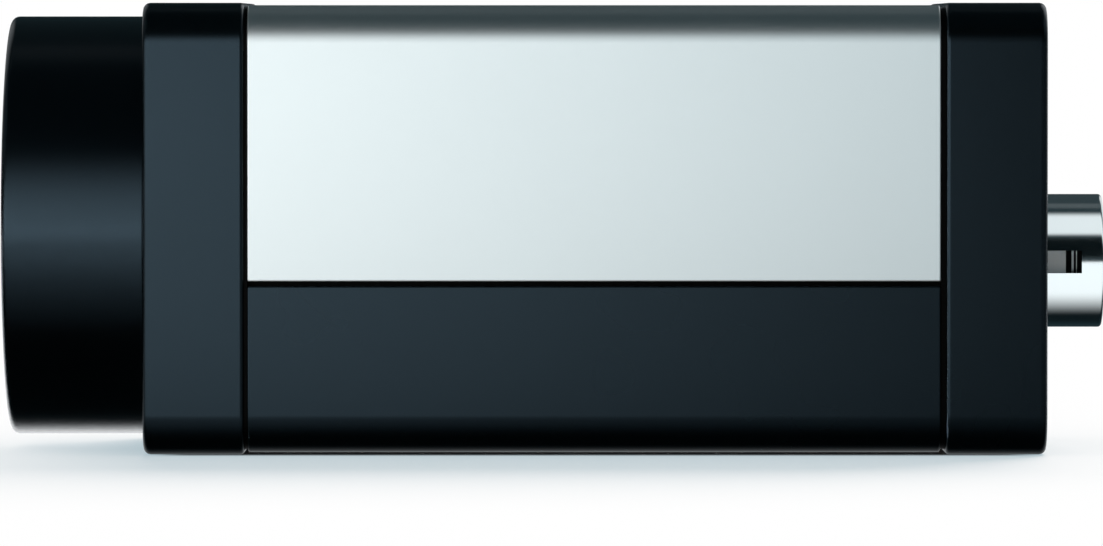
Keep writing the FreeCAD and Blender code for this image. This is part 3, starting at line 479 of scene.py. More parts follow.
COLOUR, NUMBER, NORMAL = "NodeSocketColor", "NodeSocketFloat", "NodeSocketVector"


def anodised_grain():
    """Fine blasted grain with slow tone and roughness drift."""
    def build(nodes, entry):
        place = nodes.place()
        fine = nodes.noise(place, entry["Grain Scale"], 2.0)
        slow = nodes.noise(place, 90.0, 2.0)
        drift = nodes.math("MULTIPLY_ADD", slow, entry["Tone Drift"], 1.0)
        drift = nodes.math("SUBTRACT", drift, nodes.math("MULTIPLY", entry["Tone Drift"], 0.5))
        tone = nodes.vector("SCALE", entry["Colour"])
        nodes.link(drift, tone.node.inputs["Scale"])
        about = nodes.math("SUBTRACT", slow, 0.5)
        rough = nodes.math("MULTIPLY_ADD", about, entry["Roughness Drift"], entry["Roughness"])
        normal = nodes.bump(fine, entry["Grain Depth"])
        return {"Colour": tone, "Roughness": rough, "Normal": normal}
    return group(
        "Anodised Grain",
        [("Colour", COLOUR, (0.5, 0.5, 0.5, 1)), ("Grain Scale", NUMBER, 9000.0),
         ("Grain Depth", NUMBER, 0.2), ("Tone Drift", NUMBER, 0.06),
         ("Roughness", NUMBER, 0.3), ("Roughness Drift", NUMBER, 0.04)],
        [("Colour", COLOUR), ("Roughness", NUMBER), ("Normal", NORMAL)],
        build)


def turning_lines():
    """Fine lines left by a lathe round the optical axis, as a mask."""
    def build(nodes, entry):
        place = nodes.place()
        along = nodes.vector("MULTIPLY", place, (1.0, 0.02, 0.02))
        return {"Mask": nodes.noise(along, entry["Line Scale"], 4.0, 0.7)}
    return group("Turning Lines", [("Line Scale", NUMBER, 9000.0)], [("Mask", NUMBER)], build)


def board_tracks():
    """Copper tracks and tinned pads of a circuit board, as masks."""
    def build(nodes, entry):
        place = nodes.place()
        cells = nodes.add("ShaderNodeTexVoronoi", feature="F1", distance="MANHATTAN")
        nodes.feed(cells, Vector=place, Scale=entry["Pad Scale"], Randomness=0.6)
        pads = nodes.steps(cells.outputs["Distance"], 0.10, 0.14, 1.0, 0.0)
        bricks = nodes.add("ShaderNodeTexBrick", offset=0.5)
        nodes.feed(bricks, Vector=place, Scale=entry["Track Scale"], Mortar_Size=0.07, Mortar_Smooth=0.3)
        return {"Pads": pads, "Tracks": bricks.outputs["Fac"]}
    return group(
        "Board Tracks",
        [("Pad Scale", NUMBER, 900.0), ("Track Scale", NUMBER, 260.0)],
        [("Pads", NUMBER), ("Tracks", NUMBER)],
        build)


def new_material(name):
    material = bpy.data.materials.new(name)
    material.use_nodes = True
    nodes = Nodes(material.node_tree)
    shader = material.node_tree.nodes["Principled BSDF"]
    return material, nodes, shader


def grained(name, colour, roughness, metallic=0.0, level=0.5, tint=(1, 1, 1), depth=0.2, scale=9000.0,
            drift=0.06, rough_drift=0.03, lines=0.0):
    """Anodised, plated or moulded surface with a fine grain, and lathe lines where asked."""
    found = bpy.data.materials.get(name)
    if found:
        return found
    material, nodes, shader = new_material(name)
    grain = nodes.add("ShaderNodeGroup", node_tree=anodised_grain())
    nodes.feed(grain, Colour=rgba(colour), Grain_Scale=scale, Grain_Depth=depth, Tone_Drift=drift,
               Roughness=roughness, Roughness_Drift=rough_drift)
    nodes.link(grain.outputs["Colour"], shader.inputs["Base Color"])
    nodes.link(grain.outputs["Roughness"], shader.inputs["Roughness"])
    normal = grain.outputs["Normal"]
    if lines > 0:
        cut = nodes.add("ShaderNodeGroup", node_tree=turning_lines())
        normal = nodes.bump(cut.outputs["Mask"], lines, Normal=normal)
    nodes.link(normal, shader.inputs["Normal"])
    shader.inputs["Metallic"].default_value = metallic
    shader.inputs["Specular IOR Level"].default_value = level
    shader.inputs["Specular Tint"].default_value = rgba(tint)
    return material


def finish(name):
    return getattr(settings("camera_finish"), name)


def nose_black():
    return grained("gloss_black_anodising", finish("nose"), 0.24, tint=finish("black_tint"), depth=0.03,
                   lines=0.05, drift=0.1)


def satin_black():
    return grained("satin_black_anodising", finish("black"), 0.27, tint=finish("black_tint"), depth=0.10)


# painted shade: the anodising's black with its reflections taken down, for the necks, the seam's tongues
# and the connector's sleeve, where shade falls in the joints and the bore
def painted_shade_black():
    colour = (0.0006, 0.0010, 0.0011)
    return grained("matt_black_joint", colour, 0.6, level=0.08, depth=0.4, scale=4000.0)


def satin_silver():
    return grained("satin_silver_anodising", finish("silver"), 0.40, metallic=1.0, depth=0.10,
                   drift=0.02)


def dark_nickel():
    return grained("dark_nickel_ring", (0.50, 0.55, 0.56), 0.35, metallic=1.0, scale=3000.0)


def bright_nickel():
    return grained("bright_nickel", finish("nickel"), 0.13, metallic=1.0, depth=0.02, drift=0.03)


def glass(name, colour, roughness=0.0, coat_tint=(0.35, 0.75, 0.65)):
    """Coated clear part: the coating's tint drifts a little over the surface."""
    found = bpy.data.materials.get(name)
    if found:
        return found
    material, nodes, shader = new_material(name)
    slow = nodes.noise(nodes.place(), 60.0, 1.0)
    tone = nodes.blend(slow, rgba(colour), rgba([c * 0.96 for c in colour]))
    nodes.link(tone, shader.inputs["Base Color"])
    rough = nodes.math("MULTIPLY_ADD", slow, 0.01, roughness)
    nodes.link(rough, shader.inputs["Roughness"])
    shader.inputs["Transmission Weight"].default_value = 1.0
    shader.inputs["IOR"].default_value = 1.5
    shader.inputs["Specular Tint"].default_value = rgba(coat_tint)
    return material


def solder_mask():
    """Board surface: solder mask over raised tracks, with tinned pads."""
    found = bpy.data.materials.get("solder_mask")
    if found:
        return found
    material, nodes, shader = new_material("solder_mask")
    tracks = nodes.add("ShaderNodeGroup", node_tree=board_tracks())
    base = rgba(finish("board"))
    over = rgba([min(1.0, c * 1.7) for c in finish("board")])
    tone = nodes.blend(tracks.outputs["Tracks"], over, base)
    tone = nodes.blend(tracks.outputs["Pads"], tone, (0.75, 0.70, 0.55, 1))
    nodes.link(tone, shader.inputs["Base Color"])
    rough = nodes.math("MULTIPLY_ADD", tracks.outputs["Pads"], -0.1, 0.38)
    nodes.link(rough, shader.inputs["Roughness"])
    nodes.link(tracks.outputs["Pads"], shader.inputs["Metallic"])
    nodes.link(nodes.bump(tracks.outputs["Tracks"], 0.4, 0.03 * MM), shader.inputs["Normal"])
    return material


def dress(node, material):
    """Give a carried-over CAD node its finish."""
    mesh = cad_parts[node].data
    if not mesh.materials:
        mesh.materials.append(material)
    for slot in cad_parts[node].material_slots:
        slot.material = material


# ---- operators, one for each group of pieces ----
class CAMERA_OT_nose(bpy.types.Operator):
    """Turn the nose with its rounded edges and cut the lens thread"""

    bl_idname = "camera_part.nose"
    bl_label = "Nose and Lens Thread"

    def execute(self, context):
        s = settings("camera_nose")
        radius = (RING_HIGH.y - RING_LOW.y) / 2
        x_front, x_end = RING_LOW.x, RING_HIGH.x
        x_floor = GLASS_LOW.x
        pocket = (GLASS_HIGH.y - GLASS_LOW.y) / 2 + 0.1 * MM
        aperture = pocket - 1.0 * MM
        lead_in = 0.5 * MM
        rear_edge = 0.06 * MM
        centre = (0, AXIS.y, AXIS.z)
        arc = [math.radians(90 * i / 5) for i in range(5, -1, -1)]
        profile = [
            (x_front + lead_in, s.thread_root),
            (x_front + 0.1 * MM, s.thread_root + 0.4 * MM),
            (x_front, s.thread_root + lead_in),
        ] + [
            (x_front + s.edge * (1 - math.sin(a)), radius - s.edge * (1 - math.cos(a))) for a in arc
        ] + [
            (x_end - rear_edge, radius),
            (x_end, radius - rear_edge),
            (x_end, aperture),
            (x_floor, aperture),
            (x_floor, s.thread_root),
        ]
        bm = bmesh.new()
        turned(bm, profile, centre, steps=180)
        cutters = bmesh.new()
        bar(cutters, (x_floor - 0.3 * MM, -pocket, AXIS.z - pocket),
            (GLASS_HIGH.x, pocket, AXIS.z + pocket))
        piece("turned_nose", bm, nose_black(), ["lens_mount_ring"], cutters,
              sharp=35)
        bm = bmesh.new()
        start = (x_front + 0.35 * MM, AXIS.y, AXIS.z)
        root = s.thread_root + (s.thread_root - s.thread_crest) * 0.1
        thread(bm, start, ALONG, s.thread_crest, root, s.thread_pitch, s.thread_turns, 96)
        piece("lens_thread", bm, nose_black(), sharp=25)
        return {"FINISHED"}


class CAMERA_OT_plates(bpy.types.Operator):
    """Shape the front and the rear end plate with their necks and openings"""

    bl_idname = "camera_part.plates"
    bl_label = "End Plates"

    def execute(self, context):
        s = settings("camera_body")
        x_joint = COVER_LOW.x - s.neck_length
        window = (PACKAGE_HIGH.y - PACKAGE_LOW.y) / 2 + PACKAGE_GAP
        bm = rounded_bar(FRONT_LOW.x, x_joint, HALF, s.corner_radius, s.outer_edge, s.inner_edge)
        cutters = bmesh.new()
        bar(cutters, (FRONT_LOW.x - MM, -window, AXIS.z - window),
            (x_joint + MM, window, AXIS.z + window))
        piece("front_end_plate", bm, satin_black(), ["front_plate"], cutters)
        # the front neck wears the matt black: painted shade in the joint beside the plate
        bm = self.neck(x_joint, COVER_LOW.x, s)
        cutters = bmesh.new()
        bar(cutters, (x_joint - MM, -window, AXIS.z - window),
            (COVER_LOW.x + 2 * MM, window, AXIS.z + window))
        piece("front_neck", bm, painted_shade_black(), cutters=cutters)

        x_joint = COVER_HIGH.x + s.neck_length
        bm = rounded_bar(x_joint, X_BACK, HALF, s.corner_radius, s.inner_edge, s.outer_edge)
        piece("rear_end_plate", bm, satin_black(), ["rear_plate"],
              self.rear_openings())
        # the rear neck wears the matt black: painted shade in the joint beside the plate
        bm = self.neck(COVER_HIGH.x - s.end_gap, x_joint, s)
        piece("rear_neck", bm, painted_shade_black(), cutters=self.rear_openings())
        bm = bmesh.new()
        crest, pitch, turns = LOCK_R - 0.2 * MM, 0.4 * MM, 11
        for place in lock_holes():
            start = place - Vector((4.6 * MM, 0, 0))
            thread(bm, start, ALONG, crest, LOCK_R, pitch, turns, 24)
        piece("lock_hole_threads", bm, satin_black(), sharp=25)
        return {"FINISHED"}

    def neck(self, x_low, x_high, s):
        return rounded_bar(x_low, x_high, HALF - s.neck_inset, s.corner_radius - s.neck_inset, 0, 0)

    def rear_openings(self):
        """Cutters for the screws, the lock holes, the round connector, the light pipes and the jack."""
        bm = bmesh.new()
        gap = 0.1 * MM
        through = 9 * MM
        for place in screw_places():
            hole(bm, place, ALONG, SCREW_HEAD_R + gap, through)
        for place in lock_holes():
            hole(bm, place, ALONG, LOCK_R, 5 * MM)
        mouth = (X_BACK, SHELL_AXIS.y, SHELL_AXIS.z)
        hole(bm, mouth, ALONG, SHELL_R + gap / 2, through, 0.12 * MM, 96)
        for low, high in pipe_spans():
            self.through_cut(bm, low.y, high.y, low.z, high.z, gap / 2)
        self.through_cut(bm, *jack_span(), gap)
        return bm

    def through_cut(self, bm, y_low, y_high, z_low, z_high, gap):
        """Cutter through the rear plate and its neck, with a gap all round."""
        bar(bm, (COVER_HIGH.x - 2 * MM, y_low - gap, z_low - gap),
            (X_BACK + MM, y_high + gap, z_high + gap))


def screw_places():
    """Middles of the corner screws' heads, at the rear plate's face."""
    ys = (SCREW_LOW.y + SCREW_HEAD_R, SCREW_HIGH.y - SCREW_HEAD_R)
    zs = (SCREW_LOW.z + SCREW_HEAD_R, SCREW_HIGH.z - SCREW_HEAD_R)
    return [Vector((X_BACK, y, z)) for y in ys for z in zs]


def jack_span():
    """Sides of the network jack's shell: low and high y, then low and high z."""
    half = JACK_HEIGHT / 2
    return JACK_HIGH.y - JACK_WIDTH, JACK_HIGH.y, AXIS.z - half, AXIS.z + half


def lock_holes():
    """Mouths of the plug's locking threads, below and above the jack."""
    y_low, y_high, z_low, z_high = jack_span()
    middle = (y_low + y_high) / 2
    return [Vector((X_BACK, middle, z)) for z in (z_low - LOCK_BESIDE, z_high + LOCK_BESIDE)]


def pipe_spans():
    """Corners of the two light pipes."""
    size = PIPE_HIGH.y - PIPE_LOW.y
    lower = (PIPE_LOW.copy(), Vector((PIPE_HIGH.x, PIPE_HIGH.y, PIPE_LOW.z + size)))
    upper = (Vector((PIPE_LOW.x, PIPE_LOW.y, PIPE_HIGH.z - size)), PIPE_HIGH.copy())
    return [lower, upper]


class CAMERA_OT_covers(bpy.types.Operator):
    """Shape the upper cover and the lower tray as bent and extruded walls"""

    bl_idname = "camera_part.covers"
    bl_label = "Covers"

    def execute(self, context):
        seam = COVER_LOW.z
        tray_top = seam - 0.30 * MM
        bm = self.trough(seam, 1)
        piece("silver_cover", bm, satin_silver(), ["upper_cover"])
        bm = self.trough(tray_top, -1)
        cutters = bmesh.new()
        for place in foot_places():
            hole(cutters, place, (0, 0, -1), 1.45 * MM, 3.5 * MM)
        piece("black_tray", bm, satin_black(), ["lower_tray"], cutters)
        bm = bmesh.new()
        crest, root, pitch, turns = 1.25 * MM, 1.47 * MM, 0.5 * MM, 6
        for place in foot_places():
            thread(bm, place + Vector((0, 0, pitch / 2)), (0, 0, 1), crest, root, pitch, turns, 32)
        piece("foot_threads", bm, satin_black(), sharp=25)
        self.tongues(seam, tray_top)
        return {"FINISHED"}

    def trough(self, z_edge, up):
        """U-shaped wall, open towards the seam at z_edge; up is the side of its floor."""
        s = settings("camera_body")
        radius = s.corner_radius - 0.15 * MM
        inner = COVER_HALF - s.wall
        z_floor = AXIS.z + up * COVER_HALF
        z_inner = AXIS.z + up * inner
        corners = [
            (-COVER_HALF, z_edge), (-COVER_HALF, z_floor), (COVER_HALF, z_floor), (COVER_HALF, z_edge),
            (inner, z_edge), (inner, z_inner), (-inner, z_inner), (-inner, z_edge),
        ]
        bm = bmesh.new()
        section = bm.faces.new([bm.verts.new((COVER_LOW.x, y, z)) for y, z in corners])
        made = bmesh.ops.extrude_face_region(bm, geom=[section])
        moved = [v for v in made["geom"] if isinstance(v, bmesh.types.BMVert)]
        end = COVER_HIGH.x - s.end_gap
        bmesh.ops.translate(bm, vec=(end - COVER_LOW.x, 0, 0), verts=moved)
        bmesh.ops.recalc_face_normals(bm, faces=bm.faces)
        round_edges(bm, self.edges_at(bm, z_floor), radius, s.corner_steps)
        round_edges(bm, self.edges_at(bm, z_edge), 0.12 * MM, 3)
        # the rims at the rear joint are broken wider than those at the front joint
        for x, width in ((COVER_LOW.x, s.inner_edge * 0.8), (end, s.inner_edge * 1.4)):
            round_edges(bm, self.outer_rim(bm, x), width, 3)
        return bm

    def edges_at(self, bm, z):
        """Long outer edges of both side walls at this height."""
        return [e for e in long_edges(bm.verts)
                if abs(abs(e.verts[0].co.y) - COVER_HALF) < TOUCH and abs(e.verts[0].co.z - z) < TOUCH]

    def outer_rim(self, bm, x):
        """Edges of the outer outline at one end, without those across the walls' lips."""
        wall = settings("camera_body").wall
        inside = COVER_HALF - wall / 2
        found = []
        for edge in rim_edges(bm, x):
            middle = (edge.verts[0].co + edge.verts[1].co) / 2
            in_floor = abs(middle.z - AXIS.z) > inside
            upright = abs(edge.verts[0].co.y - edge.verts[1].co.y) < wall / 2
            if in_floor or upright and abs(middle.y) > inside:
                found.append(edge)
        return found

    def tongues(self, seam, tray_top):
        """Tongues of the tray behind the seam, in the matt black that paints shade into the seam."""
        s = settings("camera_body")
        bm = bmesh.new()
        inner = COVER_HALF - s.wall
        for side in (-1, 1):
            y_low, y_high = sorted((side * inner, side * (inner + 0.55 * MM)))
            bar(bm, (COVER_LOW.x + 0.05 * MM, y_low, tray_top - 0.6 * MM),
                (COVER_HIGH.x - 0.05 * MM, y_high, seam + 1.2 * MM))
        piece("seam_tongues", bm, painted_shade_black())


def foot_places():
    """Mouths of the four fixing threads in the tray's underside."""
    first = COVER_LOW.x + 7.1 * MM
    return [Vector((x, y, TRAY_LOW.z)) for x in (first, first + 30 * MM) for y in (-8 * MM, 8 * MM)]


class CAMERA_OT_screws(bpy.types.Operator):
    """Make the long corner screws with their sunk socket heads"""

    bl_idname = "camera_part.screws"
    bl_label = "Corner Screws"

    def execute(self, context):
        bm = bmesh.new()
        cutters = bmesh.new()
        shank_r = 0.95 * MM
        top = SCREW_HIGH.x - X_BACK
        tip = SCREW_LOW.x - X_BACK
        seat = top - 1.3 * MM
        edge = 0.15 * MM
        socket_r = 1.5 * MM / math.sqrt(3)      # across the corners of a 1.5 mm hexagon
        for place in screw_places():
            turned(bm, [
                (top, 0), (top, SCREW_HEAD_R - edge),
                (top - edge * 0.3, SCREW_HEAD_R - edge * 0.3), (top - edge, SCREW_HEAD_R),
                (seat + edge / 2, SCREW_HEAD_R), (seat, SCREW_HEAD_R - edge / 2), (seat, shank_r),
                (tip + 0.3 * MM, shank_r), (tip, shank_r - 0.3 * MM), (tip, 0),
            ], place, steps=48)
            turned(cutters, [
                (top + MM, 0), (top + MM, socket_r), (top - 0.9 * MM, socket_r), (top - 1.1 * MM, 0),
            ], place, steps=6)
        material = grained("black_oxide_steel", (0.018, 0.018, 0.019), 0.34, metallic=0.6, depth=0.25)
        piece("corner_screws", bm, material, ["rear_screws"], cutters, sharp=25)
        return {"FINISHED"}


class CAMERA_OT_optics(bpy.types.Operator):
    """Finish the filter glass, the image sensor and its package"""

    bl_idname = "camera_part.optics"
    bl_label = "Filter and Sensor"

    def execute(self, context):
        bm = bmesh.new()
        made = bar(bm, GLASS_LOW, GLASS_HIGH)
        round_edges(bm, long_edges(made), 0.5 * MM, 4)
        round_edges(bm, rim_edges(bm, GLASS_LOW.x) + rim_edges(bm, GLASS_HIGH.x), 0.08 * MM, 2)
        coated = glass("filter_glass_coated", (0.80, 0.95, 0.93))
        piece("square_filter", bm, coated, ["filter_glass"])
        bm = merged_copy("sensor_cover_glass")
        clear = glass("sensor_window_glass", (0.97, 0.99, 0.98))
        piece("sensor_window", bm, clear, ["sensor_cover_glass"])
        self.sensor()
        dress("sensor_package", grained("sensor_ceramic", (0.13, 0.10, 0.08), 0.55, depth=0.3))
        return {"FINISHED"}

    def sensor(self):
        """Die with a bright border round its tinted field, and gold bond fingers in the package."""
        material, nodes, shader = new_material("sensor_silicon")
        _, y, z = nodes.split(nodes.place())
        border = 0.6 * MM
        half_y = (DIE_HIGH.y - DIE_LOW.y) / 2 - border
        half_z = (DIE_HIGH.z - DIE_LOW.z) / 2 - border
        centred = nodes.math("SUBTRACT", z, AXIS.z)
        from_y = nodes.math("SUBTRACT", nodes.math("ABSOLUTE", y), half_y)
        from_z = nodes.math("SUBTRACT", nodes.math("ABSOLUTE", centred), half_z)
        outside = nodes.steps(nodes.math("MAXIMUM", from_y, from_z), 0.0, 0.05 * MM)
        shift = nodes.math("MULTIPLY", nodes.math("ADD", y, centred), 260.0)
        hue = nodes.add("ShaderNodeValToRGB")
        hue.color_ramp.elements[0].color = (0.05, 0.02, 0.10, 1)
        hue.color_ramp.elements[1].color = (0.02, 0.10, 0.06, 1)
        hue.color_ramp.elements.new(0.5).color = (0.02, 0.05, 0.12, 1)
        nodes.link(nodes.math("MULTIPLY_ADD", shift, 0.25, 0.5), hue.inputs["Fac"])
        tone = nodes.blend(outside, hue.outputs["Color"], (0.20, 0.21, 0.20, 1))
        nodes.link(tone, shader.inputs["Base Color"])
        nodes.link(nodes.math("MULTIPLY_ADD", outside, 0.25, 0.12), shader.inputs["Roughness"])
        shader.inputs["Metallic"].default_value = 0.8
        dress("sensor_die", material)
        bm = bmesh.new()
        outer = (PACKAGE_HIGH.y - PACKAGE_LOW.y) / 2 - 1.35 * MM
        inner = outer - 0.6 * MM
        floor = DIE_HIGH.x
        count, pitch, half = 22, 0.42 * MM, 0.12 * MM
        for i in range(count):
            middle = (i - (count - 1) / 2) * pitch
            for side in (-1, 1):
                z_low, z_high = sorted((AXIS.z + side * outer, AXIS.z + side * inner))
                bar(bm, (floor - 0.04 * MM, middle - half, z_low), (floor, middle + half, z_high))
        gold = grained("bond_gold", (0.85, 0.62, 0.25), 0.28, metallic=1.0, depth=0.1)
        piece("bond_fingers", bm, gold)


class CAMERA_OT_round_connector(bpy.types.Operator):
    """Turn the round connector's shell with its latch windows, core and pins"""

    bl_idname = "camera_part.round_connector"
    bl_label = "Round Connector"

    def execute(self, context):
        s = settings("camera_connector")
        rim = SHELL_HIGH.x
        edge = 0.2 * MM
        bore = s.bore_radius
        groove = bore + 0.25 * MM
        start = X_BACK + s.groove_start
        end = start + s.groove_length
        centre = Vector((0, SHELL_AXIS.y, SHELL_AXIS.z))
        bm = bmesh.new()
        turned(bm, [
            (SHELL_LOW.x, bore), (SHELL_LOW.x, SHELL_R), (rim - edge, SHELL_R),
            (rim - edge * 0.62, SHELL_R - edge * 0.07), (rim - edge * 0.29, SHELL_R - edge * 0.29),
            (rim - edge * 0.07, SHELL_R - edge * 0.62), (rim, SHELL_R - edge),
            (rim, bore + edge), (rim - edge, bore),
            (end, bore), (end, groove), (start, groove), (start, bore),
        ], centre, steps=144)
        cutters = bmesh.new()
        half = s.window_width / 2
        window_end = X_BACK + s.window_length
        for i in range(s.window_count):
            made = bar(
                cutters, (X_BACK - 0.6 * MM, centre.y - SHELL_R - MM, centre.z - half),
                (window_end, centre.y - bore / 2, centre.z + half))
            turn = Matrix.Rotation(2 * math.pi * i / s.window_count, 3, "X")
            bmesh.ops.rotate(cutters, cent=centre, matrix=turn, verts=made)
        piece("connector_shell", bm, bright_nickel(), ["io_connector_shell"], cutters,
              sharp=32)
        bm = bmesh.new()
        half = 0.45 * MM
        bar(bm, (window_end, centre.y - half, centre.z + bore - 0.5 * MM),
            (rim - 0.4 * MM, centre.y + half, centre.z + bore + 0.3 * MM))
        round_edges(bm, long_edges(bm.verts), 0.1 * MM, 3)
        piece("connector_key", bm, bright_nickel())
        self.core(s, centre)
        self.sleeve(s, centre)
        self.pins(s, centre)
        return {"FINISHED"}

    def core(self, s, centre):
        """Moulded core with a raised rim and a funnel round each pin."""
        bm = bmesh.new()
        face = CORE_HIGH.x
        radius = s.bore_radius - 0.05 * MM
        shoulder = (CORE_HIGH.y - CORE_LOW.y) / 2
        rim, rim_r = face + s.core_rim, radius - 0.45 * MM
        turned(bm, [
            (CORE_LOW.x, 0), (CORE_LOW.x, shoulder), (SHELL_LOW.x, shoulder), (SHELL_LOW.x, radius),
            (rim - 0.05 * MM, radius), (rim, radius - 0.05 * MM), (rim, rim_r), (face, rim_r), (face, 0),
        ], centre, steps=96)
        cutters = bmesh.new()
        for place in self.pin_places(s, centre, face):
            turned(cutters, [
                (MM, 0), (MM, s.pin_radius * 2.1), (-0.2 * MM, s.pin_radius * 1.6), (-0.2 * MM, 0),
            ], place, steps=32)
        material = grained("insulator_moulding", finish("insulator"), 0.42, depth=0.3)
        piece("connector_core", bm, material, ["io_connector_insulator"], cutters)

    def sleeve(self, s, centre):
        """Sleeve inside the shell, in the matt black that paints shade into the bore, with two bright
        rings, which the windows show.
        """
        start = CORE_HIGH.x + s.core_rim + 0.02 * MM
        end = SHELL_HIGH.x - 0.9 * MM
        radius = s.bore_radius - 0.10 * MM
        edge = 0.1 * MM
        inner = radius - 0.40 * MM
        bm = bmesh.new()
        turned(bm, [
            (start, inner), (start, radius), (end - edge, radius), (end, radius - edge), (end, inner),
        ], centre, steps=96)
        piece("connector_sleeve", bm, painted_shade_black())
        bm = bmesh.new()
        # each ring's distance from the rear plate, width and height over the sleeve, in millimetres
        for along, width, proud in ((1.73, 0.13, 0.04), (2.02, 0.05, 0.01)):
            low, high = X_BACK + along * MM, X_BACK + along * MM + width * MM
            foot, top = radius - edge, radius + proud * MM
            turned(bm, [(low, foot), (low, top), (high, top), (high, foot)], centre, steps=96)
        piece("connector_rings", bm, dark_nickel())

    def pins(self, s, centre):
        bm = bmesh.new()
        r = s.pin_radius
        length = PIN_HIGH.x - CORE_HIGH.x
        for place in self.pin_places(s, centre, CORE_HIGH.x):
            turned(bm, [
                (-0.3 * MM, 0), (-0.3 * MM, r), (length - r, r), (length - r * 0.5, r * 0.87),
                (length - r * 0.13, r * 0.5), (length, 0),
            ], place, steps=24)
        gold = grained("pin_gold", (0.86, 0.64, 0.28), 0.22, metallic=1.0, depth=0.05)
        piece("connector_pins", bm, gold, ["io_connector_pins"], sharp=40)

    def pin_places(self, s, centre, x):
        turns = [2 * math.pi * (i + 0.5) / s.pin_count for i in range(s.pin_count)]
        return [Vector((x, centre.y + s.pin_circle * math.cos(a), centre.z + s.pin_circle * math.sin(a)))
                for a in turns]


class CAMERA_OT_network_jack(bpy.types.Operator):
    """Finish the network jack's shield, moulding and contact springs"""

    bl_idname = "camera_part.network_jack"
    bl_label = "Network Jack"

    def execute(self, context):
        bm = merged_copy("network_jack_shield")
        tinned = grained("tinned_sheet", (0.70, 0.71, 0.71), 0.30, metallic=1.0, depth=0.3, drift=0.08)
        piece("jack_shield", bm, tinned, ["network_jack_shield"])
        moulding = grained("jack_moulding", (0.014, 0.014, 0.016), 0.42, depth=0.4, scale=5000.0)
        dress("network_jack_housing", moulding)
        springs = grained("spring_gold", (0.86, 0.64, 0.28), 0.25, metallic=1.0, depth=0.05)
        dress("network_jack_contacts", springs)
        return {"FINISHED"}


class CAMERA_OT_lights(bpy.types.Operator):
    """Make the two clear light windows and the lamps behind them"""

    bl_idname = "camera_part.status_lights"
    bl_label = "Status Lights"

    def execute(self, context):
        bm = bmesh.new()
        for low, high in pipe_spans():
            made = bar(bm, low, high)
            round_edges(bm, long_edges(made), 0.2 * MM, 3)
        round_edges(bm, rim_edges(bm, PIPE_HIGH.x), 0.12 * MM, 3)
        moulding = glass("clear_moulding", (0.92, 0.95, 0.93), 0.18, coat_tint=(1, 1, 1))
        piece("light_windows", bm, moulding, ["light_pipes"])
        dress("status_lamps", grained("lamp_white", (0.82, 0.81, 0.76), 0.5, depth=0.2))
        return {"FINISHED"}


class CAMERA_OT_boards(bpy.types.Operator):
    """Give the boards and the parts inside the housing their finishes"""

    bl_idname = "camera_part.boards"
    bl_label = "Boards and Inner Parts"

    def execute(self, context):
        for node in ("sensor_board", "processor_board", "interface_board", "io_board"):
            dress(node, solder_mask())
        for name, (colour, roughness, more), inner_parts in INNER_FINISHES:
            material = grained(name, colour, roughness, **more)
            for node in inner_parts:
                dress(node, material)
        return {"FINISHED"}


# material, its colour, roughness and other values, and the CAD nodes that wear it
INNER_FINISHES = (
    ("chip_epoxy", ((0.020, 0.020, 0.022), 0.55, {"depth": 0.5, "scale": 4000.0}),
     ("image_processor_chip", "memory_chips", "network_transformer", "network_transceiver_chip",
      "power_inductor")),
    ("ivory_moulding", ((0.70, 0.65, 0.50), 0.45, {"depth": 0.3}),
     ("board_link_plug", "board_link_socket", "optocouplers")),
    ("socket_moulding", ((0.015, 0.015, 0.017), 0.45, {"depth": 0.3}), ("interface_socket",)),
    ("seal_rubber", ((0.012, 0.012, 0.012), 0.75, {"depth": 0.6, "scale": 3000.0}),
     ("sensor_seal_frame",)),
    ("thermal_silicone", ((0.36, 0.46, 0.55), 0.7, {"depth": 0.6, "scale": 3000.0}), ("thermal_pad",)),
    ("bare_aluminium", ((0.78, 0.79, 0.80), 0.35, {"metallic": 1.0}), ("heat_bridge",)),
    ("capacitor_can", ((0.74, 0.75, 0.76), 0.3, {"metallic": 1.0, "depth": 0.1}),
     ("buffer_capacitors",)),
    ("plated_brass", ((0.72, 0.68, 0.58), 0.3, {"metallic": 1.0, "depth": 0.1}), ("board_spacers",)),
    ("zinc_steel", ((0.66, 0.67, 0.69), 0.32, {"metallic": 1.0, "depth": 0.15}), ("board_screws",)),
)


# ---- stage ----
WHITE = (1, 1, 1, 1)
# Walls of light before the part, in metres: their distance from the optical axis, the x where they
# are brightest and where they are down to the level "low", and the height and softness of their upper
# edge. "far" is the share beyond the nose's end, "gain" multiplies all, "cool" tints the dim end.
BLACK_WALL = {"away": 0.150, "left": -0.030, "right": 0.040, "low": 0.03, "top": 0.063, "soft": 0.014,
              "far": 1.0, "gain": 0.84, "cool": (0, 0, 0)}
SILVER_WALL = {"away": 0.155, "left": -0.050, "right": 0.060, "low": 0.34, "top": 0.090, "soft": 0.022,
               "far": 1.3, "gain": 0.64, "cool": (-0.16, -0.02, 0.04)}
NOSE_WALL = {"away": 0.160, "left": -0.060, "right": 0.060, "low": 0.2, "top": 0.084, "soft": 0.066,
             "far": 1.0, "gain": 1.05, "cool": (0, 0, 0)}
# left, right, base, top, softness across and upright (degrees) and level of the room's panels
ROOM_PANELS = [
    (120, 166, -10, 45, 6, 10, 0.8),
    (-166, -125, -10, 45, 6, 10, 0.35),
    (60, 115, 15, 50, 12, 10, 0.25),
    (-115, -60, 15, 50, 12, 10, 0.15),
    (-181, -110, 62, 75, 2, 4, 0.08),
    (110, 181, 62, 75, 2, 4, 0.08),
]


